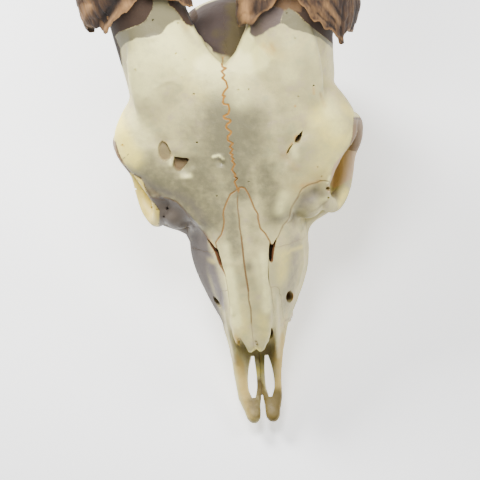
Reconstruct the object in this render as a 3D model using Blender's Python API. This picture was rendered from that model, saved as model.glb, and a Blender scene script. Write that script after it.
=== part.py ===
"""A goat skull with its horn sheaths, life size, resting on its cheek teeth.

The lower jaw is missing. Every size below is in millimetres, as (x, s, z): x to the animal's
left, s backwards from the tip of the snout, z up from the plane on which the skull rests.
"""
import math

import bmesh
import bpy
import numpy as np
from mathutils import Matrix, Vector

MM = 0.001
GAP = 0.3                    # clearance between two bones that touch
SKIN = 1.5                   # grain of the first, melted-together body
SKULL_FACES = 6700           # triangles of the body before it is opened and parted
BLENDING = 16                # rounds of smoothing before the sockets are cut
SMOOTHING = 4                # rounds of smoothing after that
RING_SIDES = 20
HOLE_SIDES = 8
THROAT_SIDES = 16
PASSAGE_SIDES = 24
STEEP = 0.35                 # a path steeper than this takes its width straight from the sides
FLOOR_BOX = [(-40, -40), (260, -40), (260, 0), (-40, 0)]     # what would lie under the floor, as (s, z)
FLOOR_HALF = 120.0
SHARP = 40.0                 # degrees beyond which an edge stays sharp

# Height of the roof of the nose on the midline, from before the nasal tips to the forehead.
ROOF = [(20, 33.5), (31.5, 41.5), (65, 65.5), (86, 78.5), (99.5, 87), (112, 97.5)]

# Lofted masses: s, half width, height of the widest place, top, bottom, top and bottom squareness.
FACE = [(44, 12.5, 26, 49.5, 14.5, 2.1, 3.0), (54, 17.0, 28, 57, 15, 2.1, 3.2),
        (64, 22.0, 31, 64.5, 15.5, 2.1, 3.4), (75, 27.0, 36, 71.5, 16, 2.1, 3.4),
        (84, 30.0, 41, 77, 16.5, 2.0, 3.2), (94, 30.5, 45, 83, 17, 2.0, 3.0),
        (104, 30.5, 47, 88, 17.5, 2.0, 2.8), (114, 29.0, 49, 92, 19, 2.0, 2.6),
        (123, 26.0, 52, 96, 24, 2.0, 2.4), (132, 21.0, 60, 98, 36, 2.0, 2.2)]
NASAL_ROOF = [(31.5, 5.0, 38.5, 41.5, 37.2, 2.2, 2.2), (35, 8.0, 39.5, 44, 37.6, 2.3, 2.2),
              (39, 9.8, 41.5, 46.8, 39.0, 2.4, 2.2), (46, 11.0, 46, 51.8, 43, 2.4, 2.2),
              (56, 12.2, 53, 59, 49, 2.4, 2.2), (68, 13.2, 62.5, 67.6, 58, 2.4, 2.2),
              (80, 14.0, 70, 74.8, 66, 2.4, 2.2), (92, 14.0, 77, 82.2, 72, 2.4, 2.2),
              (100, 14.0, 82, 87.3, 76, 2.4, 2.2)]
FOREHEAD = [(88, 20.0, 72, 79.5, 56, 2.2, 2.0), (96, 30.0, 76, 84.5, 62, 2.2, 2.0),
            (103, 40.0, 80, 90, 68, 2.2, 2.2), (110, 48.0, 85, 96, 78, 2.2, 2.6),
            (118, 54.5, 89, 102.8, 83, 2.3, 2.8), (126, 59.5, 91.5, 109.5, 85, 2.3, 3.0),
            (133, 61.8, 92.5, 114.8, 84, 2.2, 2.6), (141, 58.8, 94, 120, 79, 2.1, 2.2),
            (149, 52.5, 97, 125, 74, 2.1, 2.0), (153.5, 49.5, 98, 125.8, 72, 2.2, 2.0),
            (159, 46.0, 99, 125.8, 70, 2.2, 2.0), (164, 43.5, 99, 122.5, 68, 2.2, 2.0),
            (170, 40.0, 98, 118, 66, 2.2, 2.0), (176, 36.0, 94, 116, 62, 2.2, 2.0)]
BRAINCASE = [(140, 27.0, 84, 112, 54, 2.0, 2.0), (152, 32.0, 84, 116, 47, 2.0, 2.0),
             (166, 34.5, 82, 119, 42, 2.0, 2.2), (178, 35.0, 79, 120, 39, 1.9, 2.4),
             (190, 34.5, 74, 116.5, 37, 1.8, 2.4), (200, 33.0, 68, 108, 36, 1.8, 2.6),
             (206.5, 28.0, 62, 97.5, 36, 1.9, 2.6), (211.5, 19.0, 55, 80, 37, 2.0, 2.4)]
SKULL_BASE = [(112, 8.0, 54, 62, 44, 2.0, 2.0), (130, 8.5, 50, 60, 42, 2.0, 2.2),
              (150, 9.0, 46, 58, 38.5, 2.0, 2.4), (170, 11.0, 42, 56, 35, 2.0, 2.6),
              (190, 14.0, 41, 54, 33.5, 2.0, 2.8), (206, 17.0, 41, 52, 34, 2.0, 2.6)]

# Swept bars and blades: path points and (sideways, upright) half thickness at each point.
ORBIT_RIM = [(42.2, 104, 79), (46.2, 109.8, 84), (51.4, 117, 87.6), (57.6, 125, 90.2),
             (58.6, 134, 89.5), (60.0, 135.5, 81), (59.0, 132.5, 71), (55.2, 127, 63.5),
             (53.2, 118, 59.5), (50.2, 108.5, 58.5), (45.6, 101.2, 60.5), (42, 99.5, 70)]
ORBIT_RIM_THICK = [3.2, 3.0, 2.8, 3.2, 3.8, 4.2, 3.9, 3.6, 3.4, 3.8, 4.2, 3.8]
CHEEK_ARCH = [(54.5, 128, 61), (54, 138, 60), (51.5, 149, 58.5), (46, 160, 57), (39, 170, 56),
              (32, 176, 58)]
CHEEK_ARCH_THICK = [(2.6, 4.4), (2.4, 5.0), (2.4, 4.6), (2.8, 4.4), (4.2, 5.0), (5.5, 7.0)]
CHEEK_CREST = [(24.5, 77, 33), (26.0, 85, 39), (26.8, 94, 44.5), (32, 100.5, 50), (41.5, 103, 55.5),
               (48, 108, 57.5)]
CHEEK_CREST_THICK = [(3.4, 7.0), (3.8, 8.0), (3.6, 7.0), (4.0, 5.4), (4.2, 5.0), (3.6, 4.0)]
ORBIT_FLOOR = [(38, 103, 56), (42, 111, 54.5), (44.5, 119, 54.5), (47, 127, 57), (51, 134, 62)]
ORBIT_FLOOR_THICK = [(5, 2.6), (7.5, 2.4), (7.5, 2.4), (6, 2.6), (4, 2.6)]
HORN_FOOT = [(28, 116, 94), (28.5, 128, 101), (29.5, 138, 110), (31, 147, 121), (33, 156, 134),
             (36, 168, 147)]
HORN_FOOT_THICK = [(12, 4), (15, 6), (17.5, 6.5), (18, 6.5), (15, 6), (8, 4)]
NOTCH_CREST = [(7, 157, 117), (11.5, 161.5, 121), (15.5, 165.5, 126.5), (19, 169.5, 133), (23, 174, 141)]
NOTCH_CREST_THICK = [(5, 7), (5.5, 7.5), (5.5, 8), (5, 8), (4, 7)]
NASAL_PROCESS = [(10.4, 36, 20), (11.2, 42, 27), (12.0, 49, 38), (12.4, 55, 47), (12.2, 59.5, 53)]
NASAL_PROCESS_THICK = [(1.6, 3.2), (1.5, 4.6), (1.5, 4.8), (1.4, 3.6), (1.2, 2.0)]
SNOUT_BRANCH = [(6.4, 9, 9.6), (8.4, 18, 11.3), (9.2, 27, 14), (10.2, 36, 17.5), (12.0, 45, 22),
                (14.2, 54, 26)]
SNOUT_BRANCH_THICK = [(2.8, 2.5), (2.7, 2.7), (2.6, 3.0), (2.7, 3.6), (2.8, 4.6), (3.0, 5.0)]
SNOUT_PLATE = [(4.6, 10, 9.6), (4.8, 22, 12.2), (5.2, 34, 15.6), (6.0, 46, 17.4)]
SNOUT_PLATE_THICK = [(3.6, 2.3), (4.4, 1.7), (5.0, 1.7), (6.4, 2.2)]
SNOUT_SPLINT = [(1.5, 17, 11.2), (1.3, 25, 13.2), (1.3, 34, 15.4), (1.9, 44, 17)]
SNOUT_SPLINT_THICK = [(1.2, 1.6), (1.2, 1.8), (1.2, 2.0), (1.6, 2.0)]
SNOUT_GAP = [(0, 3, 10), (0, 12, 10.5), (0, 19, 11.5)]
SNOUT_GAP_THICK = [(1.5, 8), (1.2, 8), (0.5, 8)]
EAR_ROD = [(27, 199, 48), (25.5, 203, 30), (23.5, 205, 14), (22, 204.5, -2)]
EAR_ROD_THICK = [(4.5, 6.5), (3.4, 5.6), (2.8, 4.8), (2.2, 4.0)]
WING_PLATE = [(12.5, 112, 34), (11.5, 122, 36), (10.5, 132, 39), (10.5, 142, 43)]
WING_PLATE_THICK = [(2.0, 15), (1.5, 15), (1.3, 12), (1.6, 8)]
WING_HOOK = [(10.5, 136, 32), (11, 140, 25), (12, 143.5, 20)]
WING_HOOK_THICK = [(1.4, 3.6), (1.2, 2.6), (1.0, 1.6)]

# The snout is crooked: how much wider than drawn each side is (-1 is the right), at s.
SNOUT_WIDTH = {-1: [(4, 0.88), (10, 0.98), (18, 1.12), (30, 1.15), (42, 1.08), (58, 1.0)],
               1: [(4, 0.96), (10, 0.95), (18, 0.93), (30, 0.92), (42, 0.96), (58, 1.0)]}

# Round masses: centre and half sizes.
SNOUT_TIP = ((5.4, 9.6, 9.6), (4.2, 5.4, 2.9))
PALATE_FRONT = ((0, 47, 17.5), (12.5, 9, 2.8))
EAR_BULB = ((19.5, 181, 32), (7, 11, 10.5))
EAR_WALL = ((33, 194, 60), (5.5, 9, 15))
CONDYLE = ((12.5, 211.5, 43), (8.0, 8.5, 11.5))
LAC_SWELL = ((33, 99, 69), (8, 8, 9))

# Openings: centre and half sizes.
EYE_SOCKET = ((47, 120, 75), (24, 17.0, 13.8))
EYE_FUNNEL = ((30, 130, 71), (15, 19, 12))
TEMPLE_PIT = ((47, 151, 78), (14.5, 16, 15))
HORN_SADDLE = [(151.5, 0.5, 133, 240, 125, 2.0, 2.0), (153.5, 2.2, 131, 240, 121.5, 2.0, 2.2),
               (156, 4.4, 130, 240, 118.5, 2.0, 2.4), (161, 8.0, 130, 240, 117, 2.0, 2.6),
               (166, 11.2, 131, 240, 117.2, 2.0, 2.6), (172, 14.2, 133, 240, 118, 2.0, 2.6),
               (184, 17.0, 137, 240, 120, 2.0, 2.6)]
NOSE_PASSAGE = [(20, 7.5, 30, 31.2, 25, 2.2, 2.0), (31, 8.2, 34, 38.4, 24, 2.2, 2.0),
                (40, 9.0, 36, 44.8, 23, 2.3, 2.2), (48, 10.6, 36, 50.6, 22.5, 2.3, 2.4),
                (58, 14.2, 37, 57.6, 21.5, 2.3, 2.4), (70, 19.0, 42, 66, 21.5, 2.2, 2.4),
                (82, 20.5, 48, 73, 24, 2.2, 2.2), (92, 16.0, 56, 77, 34, 2.2, 2.0),
                (98, 7.0, 62, 74, 50, 2.0, 2.0)]
THROAT = [(110, 6.5, 30, 36, 10, 2.0, 2.0), (122, 8.0, 32, 40, 8, 2.0, 2.0),
          (140, 8.4, 30, 39, 0, 2.0, 2.0), (152, 8.4, 26, 33, 0, 2.0, 2.0)]
SPINE_HOLE = [(186, 9.0, 57, 66, 48, 2.0, 2.0), (200, 10.0, 54, 64, 45, 2.0, 2.0),
              (212, 10.2, 51, 61.5, 41, 2.0, 2.0), (226, 12.0, 50, 62, 36, 2.0, 2.0)]
SNOUT_SLOT = [(4.3, 17.5, 12), (4.6, 23, 13.4), (4.3, 31, 15.4), (3.6, 38.5, 17.5)]
SNOUT_SLOT_THICK = [(1.0, 9), (2.5, 9), (2.2, 9), (0.9, 9)]
BREATH_SLIT = [(13.4, 66.5, 62.5), (14.4, 71, 65.5), (15.6, 76, 68.6), (15.6, 80.5, 71.8)]
BREATH_SLIT_THICK = [(0.9, 4.5), (1.9, 5), (2.3, 5), (1.0, 4.5)]
CHEEK_HOLE = [(26, 56, 37), (20.5, 62, 39.4), (15, 68, 42)]
CHEEK_HOLE_THICK = [(2.6, 3.4), (2.3, 3.0), (1.6, 2.2)]
BROW_HOLE = [(33.5, 114, 112), (33, 117, 104), (32, 121, 97)]
BROW_HOLE_THICK = [(2.2, 3.0), (1.9, 2.4), (1.4, 1.4)]

# Cheek teeth: length along the row, width and number of lobes, front to back.
TEETH = [(7.5, 6.5, 1), (8.5, 8.5, 1), (9.5, 10.5, 1), (12.0, 12.0, 2), (14.0, 12.5, 2), (14.5, 12.0, 2)]
ROW_START = (13.2, 62)
ROW_BEND = (18.6, 90)
ROW_END = (21.6, 128)
TOOTH_GAP = 0.3
TOOTH_RINGS = [(0.0, 0.84), (2.2, 1.0), (10.0, 1.04), (20.0, 0.86)]     # height and spread, from the worn end
TOOTH_SIDES = 8
TOOTH_CROWDING = 1.12

# Bone borders, as (s, z) outlines seen from the side.
SNOUT_BORDER = [(-8, -6), (45, -6), (46, 15), (48.5, 27), (52.5, 38), (57, 46.5), (61, 53.5),
                (58, 62), (30, 62), (-8, 34)]
CHEEK_BORDER = [(44, -6), (127, -6), (127, 28), (123, 40), (112, 44), (101, 42), (94, 45), (88, 51.5),
                (83, 59), (77.5, 66), (72, 80), (55, 76), (44, 62)]
TEAR_BORDER = [(74, 76), (77.5, 66), (83, 58), (88.5, 52), (94, 59.5), (99.5, 65), (112, 68.5),
               (112, 79), (104.5, 81.3), (96, 78.5), (88, 75.2), (82, 73)]
JUGAL_BORDER = [(84, 50), (93, 38), (101, 36), (140, 44), (153, 50), (147, 70), (121, 70), (112, 73),
                (100, 76), (90, 66)]
BROW_BORDER = [(66, 62), (76, 67), (92, 72), (104, 79), (117, 81.5), (121, 70), (147, 70), (151, 85),
               (168, 94), (181, 104), (190.5, 113), (196, 121), (207, 134), (262, 196), (262, 300),
               (60, 300)]
NASAL_BORDER = [(0, 26), (12.6, 26), (12.6, 44), (12.3, 56), (13.3, 68), (14.6, 79.5), (13.6, 82),
                (9.8, 86.5), (8.6, 92), (6.2, 96.3), (4.2, 100.2), (2.6, 100.6), (0, 98.6)]
# What is cut away in front of one nasal bone, which leaves its two points, as (x, s).
NASAL_TRIM = [(1.0, 22), (1.0, 34.6), (1.8, 33), (2.9, 32.8), (4.3, 34), (5.2, 36), (7.4, 38.8),
              (8.3, 38.2), (9.3, 41.5), (15, 41.5), (15, 22)]
NASAL_TRIM_SPAN = (-5.5, 10)         # below and above the roof of the nose
NASAL_SPAN = (-6.6, 12)
# The bones of one side, in the order in which they are taken off: border, inner and outer x.
SIDE_BONES = {"premaxilla": (SNOUT_BORDER, 0, 60), "maxilla": (CHEEK_BORDER, 0, 70),
              "lacrimal": (TEAR_BORDER, 15, 70), "zygomatic": (JUGAL_BORDER, 30.5, 90),
              "frontal": (BROW_BORDER, 0, 160)}

# Horns: the core's centre line starts inside the forehead and rises backwards and outwards.
HORN_ROOT = (30.2, 156.5, 96.5)
HORN_LEAN = 63.0             # degrees above the level plane at the root
HORN_SPREAD = 7.0            # degrees outwards at the root
HORN_CURL = 76.0             # degrees that the centre line turns back over its length
HORN_TWIST = 20.0            # degrees more outwards at the tip
HORN_LENGTH = 352.0
HORN_STEPS = 60
CORE_LENGTH = 128.0
CORE_HALF = (21.0, 21.0)
CORE_TIP = 0.42
CORE_FLARE = 0.06
CORE_FOOT = 26.0             # reach of the flare at the core's foot
CORE_CLEAR = 0.9             # between the core and the inside of its sheath
CORE_RINGS = 15
SHEATH_HALF = (31.0, 29.5)
SHEATH_SHIFT = 1.5           # how far outwards the loose sheath sits on its core
SHEATH_TIP = 0.05
SHEATH_WALL = 2.2
SHEATH_SIDES = 22
SHEATH_RINGS = 17
SHEATH_BLIND = (2.5, -4, -22, -40)   # reach of the inner rings, counted from the core's end
SHEATH_LIP = 4.0             # how far behind the last of the rim the plain rings begin
KEEL_ANGLE = 142.0           # direction of the front keel, from outwards (0) to forwards (90)
KEEL_RISE = 0.15
KEEL_WIDTH = 0.36            # radians over which the keel fades out
# How far along each horn the broken rim of its sheath lies, at an angle round it.
RIM = {1: [(0, 29), (30, 31), (55, 37), (75, 49), (95, 65), (112, 66), (130, 50), (150, 37),
           (175, 35), (215, 43), (250, 39), (285, 43), (320, 33)],
       -1: [(0, 43), (35, 48), (60, 62), (85, 79), (112, 83), (135, 78), (158, 66), (180, 63),
            (215, 66), (250, 58), (285, 51), (320, 45)]}

BONE_COLOUR = (0.80, 0.76, 0.62, 1.0)
SNOUT_COLOUR = (0.62, 0.50, 0.30, 1.0)
HORN_COLOUR = (0.17, 0.105, 0.06, 1.0)


def roof_height(s):
    """Height of the roof of the nose on the midline, s back from the snout."""
    return float(np.interp(s, [row[0] for row in ROOF], [row[1] for row in ROOF]))


def to_side(points, side):
    """The same points on the left (1) or right (-1) side."""
    return [(side * x, s, z) for x, s, z in points]


def link(name, bm):
    """Turn a bmesh into an object of the scene, with its faces pointing out."""
    bmesh.ops.recalc_face_normals(bm, faces=bm.faces)
    mesh = bpy.data.meshes.new(name)
    bm.to_mesh(mesh)
    bm.free()
    thing = bpy.data.objects.new(name, mesh)
    bpy.context.scene.collection.objects.link(thing)
    return thing


def drop(thing):
    """Remove an object and its mesh."""
    mesh = thing.data
    bpy.data.objects.remove(thing)
    bpy.data.meshes.remove(mesh)


def settle(thing):
    """Apply an object's modifiers to its mesh."""
    depsgraph = bpy.context.evaluated_depsgraph_get()
    mesh = bpy.data.meshes.new_from_object(thing.evaluated_get(depsgraph))
    old = thing.data
    thing.modifiers.clear()
    thing.data = mesh
    bpy.data.meshes.remove(old)
    return thing


def close_tube(bm, rings):
    """Bridge a row of vertex rings into one closed skin."""
    loops = []
    for verts in rings:
        loops.append(list({edge for vert in verts for edge in vert.link_edges}))
    for near, far in zip(loops, loops[1:]):
        bmesh.ops.bridge_loops(bm, edges=near + far)
    bmesh.ops.holes_fill(bm, edges=bm.edges, sides=0)
    bmesh.ops.triangulate(bm, faces=[face for face in bm.faces if len(face.verts) > 4])


def squared(value, power):
    """A circle's sine or cosine, drawn out towards a square."""
    return math.copysign(abs(value) ** (2.0 / power), value)


def loft(name, sections, sides=RING_SIDES * 2):
    """A closed body through upright sections, each widest at its own height."""
    bm = bmesh.new()
    rings = []
    for s, half, widest, top, bottom, top_power, bottom_power in sections:
        verts = bmesh.ops.create_circle(bm, segments=sides, radius=1.0)["verts"]
        for vert in verts:
            power = top_power if vert.co.y >= 0 else bottom_power
            rise = (top - widest) if vert.co.y >= 0 else (widest - bottom)
            x = half * squared(vert.co.x, power)
            z = widest + rise * squared(vert.co.y, power)
            vert.co = Vector((x, s, z)) * MM
        rings.append(verts)
    close_tube(bm, rings)
    return link(name, bm)


def smooth_path(points, steps):
    """Points at even parameters on a smooth curve through the given ones."""
    knots = [Vector(p) for p in points]
    knots = [knots[0] * 2 - knots[1]] + knots + [knots[-1] * 2 - knots[-2]]
    path = []
    spans = len(points) - 1
    for k in range(steps + 1):
        place = min(k * spans / steps, spans - 1e-9)
        i = int(place)
        t = place - i
        a, b, c, d = knots[i:i + 4]
        path.append(0.5 * (2 * b + (c - a) * t + (2 * a - 5 * b + 4 * c - d) * t * t
                           + (3 * b - a - 3 * c + d) * t ** 3))
    return path


def sweep(name, points, thick, closed=False, sides=RING_SIDES // 2 + 2, steps_each=4):
    """A bar along a curve, with its sideways and upright half thickness at each point."""
    spans = len(points) if closed else len(points) - 1
    route = points + [points[0]] if closed else points
    widths = [(t, t) if isinstance(t, (int, float)) else t for t in thick]
    widths = widths + [widths[0]] if closed else widths
    steps = spans * steps_each
    path = smooth_path(route, steps)
    bm = bmesh.new()
    rings = []
    for k, centre in enumerate(path):
        ahead = path[min(k + 1, steps)] - path[max(k - 1, 0)]
        tangent = ahead.normalized()
        across = tangent.cross(Vector((0, 0, 1)))
        across = Vector((1, 0, 0)) - tangent * tangent.x if across.length < STEEP else across
        across = across.normalized()
        if across.x < 0:
            across = -across
        upright = tangent.cross(across).normalized()
        knots = range(len(widths))
        a = float(np.interp(k / steps_each, knots, [w[0] for w in widths]))
        b = float(np.interp(k / steps_each, knots, [w[1] for w in widths]))
        frame = Matrix((across * a, upright * b, tangent)).transposed().to_4x4()
        frame.translation = centre
        verts = bmesh.ops.create_circle(bm, segments=sides, radius=1.0, matrix=frame)["verts"]
        rings.append(verts)
    close_tube(bm, rings)
    bmesh.ops.scale(bm, vec=(MM, MM, MM), verts=bm.verts)
    return link(name, bm)


def ball(name, centre, halves, level=3):
    """An ellipsoid."""
    place = Matrix.Translation(Vector(centre) * MM) @ Matrix.Diagonal((*(Vector(halves) * MM), 1.0))
    bm = bmesh.new()
    bmesh.ops.create_icosphere(bm, subdivisions=level, radius=1.0, matrix=place)
    return link(name, bm)


def fuse(name, things, grain):
    """Melt closed bodies that overlap into one skin of even grain."""
    bm = bmesh.new()
    for thing in things:
        bm.from_mesh(thing.data)
        drop(thing)
    body = link(name, bm)
    skin = body.modifiers.new("skin", "REMESH")
    skin.mode = "VOXEL"
    skin.voxel_size = grain * MM
    return settle(body)


def even_out(body, rounds):
    """Round off creases and steps."""
    even = body.modifiers.new("even", "SMOOTH")
    even.factor = 0.5
    even.iterations = rounds
    return settle(body)


def combine(body, tool, operation):
    """Cut, join or trim a body by a tool, and remove the tool."""
    step = body.modifiers.new("step", "BOOLEAN")
    step.operation = operation
    step.object = tool
    step.solver = "MANIFOLD"
    settle(body)
    drop(tool)
    return body


def keep_largest(body):
    """Keep only the closed surface that holds the most."""
    bm = bmesh.new()
    bm.from_mesh(body.data)
    bm.faces.ensure_lookup_table()
    seen = set()
    best = []
    best_volume = -1.0
    for face in bm.faces:
        if face in seen:
            continue
        group = []
        stack = [face]
        seen.add(face)
        while stack:
            here = stack.pop()
            group.append(here)
            for edge in here.edges:
                for other in edge.link_faces:
                    if other not in seen:
                        seen.add(other)
                        stack.append(other)
        volume = 0.0
        for piece in group:
            corners = [vert.co for vert in piece.verts]
            for second, third in zip(corners[1:], corners[2:]):
                volume += corners[0].dot(second.cross(third)) / 6.0
        if volume > best_volume:
            best_volume = volume
            best = group
    doomed = list(set(bm.faces) - set(best))
    bmesh.ops.delete(bm, geom=doomed, context="FACES")
    bm.to_mesh(body.data)
    bm.free()
    return body


def prism(name, outline, low, high, grow, axis):
    """An outline in (s, z) drawn out along x, or in (x, s) drawn up along z, and grown a little."""
    bm = bmesh.new()
    if axis == "x":
        start = [bm.verts.new((low, s, z)) for s, z in outline]
        move = Vector((high - low, 0, 0))
    else:
        start = [bm.verts.new((x, s, low)) for x, s in outline]
        move = Vector((0, 0, high - low))
    face = bm.faces.new(start)
    made = bmesh.ops.extrude_face_region(bm, geom=[face])["geom"]
    bmesh.ops.translate(bm, vec=move, verts=[item for item in made if isinstance(item, bmesh.types.BMVert)])
    if axis == "z":
        for vert in bm.verts:
            vert.co.z += roof_height(vert.co.y)
    bmesh.ops.recalc_face_normals(bm, faces=bm.faces)
    bm.normal_update()
    shifts = [(vert, vert.normal * vert.calc_shell_factor() * grow) for vert in bm.verts]
    for vert, shift in shifts:
        vert.co += shift
    bmesh.ops.triangulate(bm, faces=bm.faces)
    bmesh.ops.scale(bm, vec=(MM, MM, MM), verts=bm.verts)
    return link(name, bm)


def part_off(body, name, outline, low, high, side, axis="x"):
    """Take the region inside a border off the body as a bone of its own, with a clearance."""
    if axis == "x":
        ends = sorted((side * low, side * high))
        shape = outline
    else:
        ends = (low, high)
        shape = [(side * x, s) for x, s in outline]
    bone = bpy.data.objects.new(name, body.data.copy())
    bpy.context.scene.collection.objects.link(bone)
    combine(bone, prism("inner", shape, *ends, -GAP / 2, axis), "INTERSECT")
    combine(body, prism("outer", shape, *ends, GAP / 2, axis), "DIFFERENCE")
    keep_largest(bone)
    keep_largest(body)
    return bone


def horn_line(side):
    """Centre points and frames of a horn, one for each step along it."""
    step = HORN_LENGTH / HORN_STEPS
    place = Vector((side * HORN_ROOT[0], HORN_ROOT[1], HORN_ROOT[2]))
    line = []
    for k in range(HORN_STEPS + 1):
        share = k / HORN_STEPS
        lean = math.radians(HORN_LEAN - HORN_CURL * share ** 1.15)
        spread = math.radians(HORN_SPREAD + HORN_TWIST * share)
        along = Vector((side * math.sin(spread), math.cos(lean) * math.cos(spread),
                        math.sin(lean) * math.cos(spread)))
        out = Vector((side, 0, 0))
        out = (out - along * out.dot(along)).normalized()
        front = along.cross(out) * side
        line.append((place.copy(), out, -front, along))
        place += along * step
    return line


def horn_ring(line, reach, halves, angle, shift=0.0):
    """A point of the horn's keeled oval, reach along its centre line, at an angle."""
    k = min(reach / HORN_LENGTH * HORN_STEPS, HORN_STEPS - 1e-6)
    i = int(k)
    t = k - i
    centre = line[i][0].lerp(line[i + 1][0], t)
    out = line[i][1].lerp(line[i + 1][1], t).normalized()
    front = line[i][2].lerp(line[i + 1][2], t).normalized()
    turn = math.radians(angle)
    off_keel = math.radians((angle - KEEL_ANGLE + 180) % 360 - 180)
    swell = 1 + KEEL_RISE * math.exp(-(off_keel / KEEL_WIDTH) ** 2)
    sideways = halves[0] * math.cos(turn) * swell + shift
    return centre + out * sideways + front * (halves[1] * math.sin(turn) * swell)


def taper(reach, tip):
    """How much of its base size the horn still has, reach along it."""
    share = min(reach / HORN_LENGTH, 1.0)
    return tip + (1 - tip) * (1 - share ** 1.35)


def core_halves(reach):
    """Outward and forward half sizes of the bony core, reach along it."""
    share = min(reach / CORE_LENGTH, 1.0)
    size = CORE_TIP + (1 - CORE_TIP) * (1 - share ** 2)
    size *= 1 + CORE_FLARE * max(0.0, 1 - reach / CORE_FOOT) ** 2
    return (CORE_HALF[0] * size, CORE_HALF[1] * size)


def horn_core(side):
    """The bony core of a horn, rooted in the forehead."""
    line = horn_line(side)
    bm = bmesh.new()
    rings = []
    for reach in np.linspace(0, CORE_LENGTH, CORE_RINGS):
        verts = bmesh.ops.create_circle(bm, segments=RING_SIDES, radius=1.0)["verts"]
        for number, vert in enumerate(verts):
            vert.co = horn_ring(line, reach, core_halves(reach), side_angle(number, RING_SIDES)) * MM
        rings.append(verts)
    close_tube(bm, rings)
    return link("core", bm)


def side_angle(number, sides):
    """Angle of one corner of a ring, from outwards through forwards."""
    return 360.0 * number / sides


def rim_reach(side, angle):
    """How far along the horn the sheath's broken rim lies, at an angle round it."""
    rows = RIM[side] + [(360, RIM[side][0][1])]
    return float(np.interp(angle % 360, [row[0] for row in rows], [row[1] for row in rows]))


def horn_sheath(side, name):
    """The hollow horn sheath, with a broken rim round the core and a solid tip."""
    line = horn_line(side)
    bm = bmesh.new()
    rings = []
    for reach in [CORE_LENGTH + step for step in SHEATH_BLIND]:
        verts = bmesh.ops.create_circle(bm, segments=SHEATH_SIDES, radius=1.0)["verts"]
        halves = [half + CORE_CLEAR for half in core_halves(reach)]
        for number, vert in enumerate(verts):
            vert.co = horn_ring(line, reach, halves, side_angle(number, SHEATH_SIDES))
        rings.append(verts)
    for wall in (True, False):
        verts = bmesh.ops.create_circle(bm, segments=SHEATH_SIDES, radius=1.0)["verts"]
        for number, vert in enumerate(verts):
            angle = side_angle(number, SHEATH_SIDES)
            reach = rim_reach(side, angle)
            size = taper(reach, SHEATH_TIP)
            inset = SHEATH_WALL if wall else 0.0
            halves = (SHEATH_HALF[0] * size - inset, SHEATH_HALF[1] * size - inset)
            vert.co = horn_ring(line, reach, halves, angle, SHEATH_SHIFT)
        rings.append(verts)
    first = max(row[1] for row in RIM[side]) + SHEATH_LIP
    for k in range(SHEATH_RINGS):
        share = k / (SHEATH_RINGS - 1)
        verts = bmesh.ops.create_circle(bm, segments=SHEATH_SIDES, radius=1.0)["verts"]
        reach = first + (HORN_LENGTH - first) * share
        for number, vert in enumerate(verts):
            size = taper(reach, SHEATH_TIP)
            halves = (SHEATH_HALF[0] * size, SHEATH_HALF[1] * size)
            shift = SHEATH_SHIFT * size
            vert.co = horn_ring(line, reach, halves, side_angle(number, SHEATH_SIDES), shift)
        rings.append(verts)
    close_tube(bm, rings)
    bmesh.ops.scale(bm, vec=(MM, MM, MM), verts=bm.verts)
    return link(name, bm)


def tooth_row(side):
    """Six cheek teeth, worn flat where the skull rests, with their roots in the jaw."""
    s = ROW_START[1]
    lobes = []
    for length, width, count in TEETH:
        for lobe in range(count):
            lobes.append((s + length * (lobe + 0.5) / count, length / count, width))
        s += length + TOOTH_GAP
    things = []
    for middle, length, width in lobes:
        x = float(np.interp(middle, [ROW_START[1], ROW_BEND[1], ROW_END[1]],
                            [ROW_START[0], ROW_BEND[0], ROW_END[0]]))
        bm = bmesh.new()
        for z, grow in TOOTH_RINGS:
            place = Matrix.Translation((side * x, middle, z))
            place = place @ Matrix.Diagonal((width / 2 * grow, length / 2 * grow * TOOTH_CROWDING, 1, 1))
            bmesh.ops.create_circle(bm, segments=TOOTH_SIDES, radius=1.0, matrix=place)
        bm.verts.ensure_lookup_table()
        rings = [bm.verts[r * TOOTH_SIDES:(r + 1) * TOOTH_SIDES] for r in range(len(TOOTH_RINGS))]
        close_tube(bm, rings)
        bmesh.ops.scale(bm, vec=(MM, MM, MM), verts=bm.verts)
        things.append(link("lobe", bm))
    return things


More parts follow.
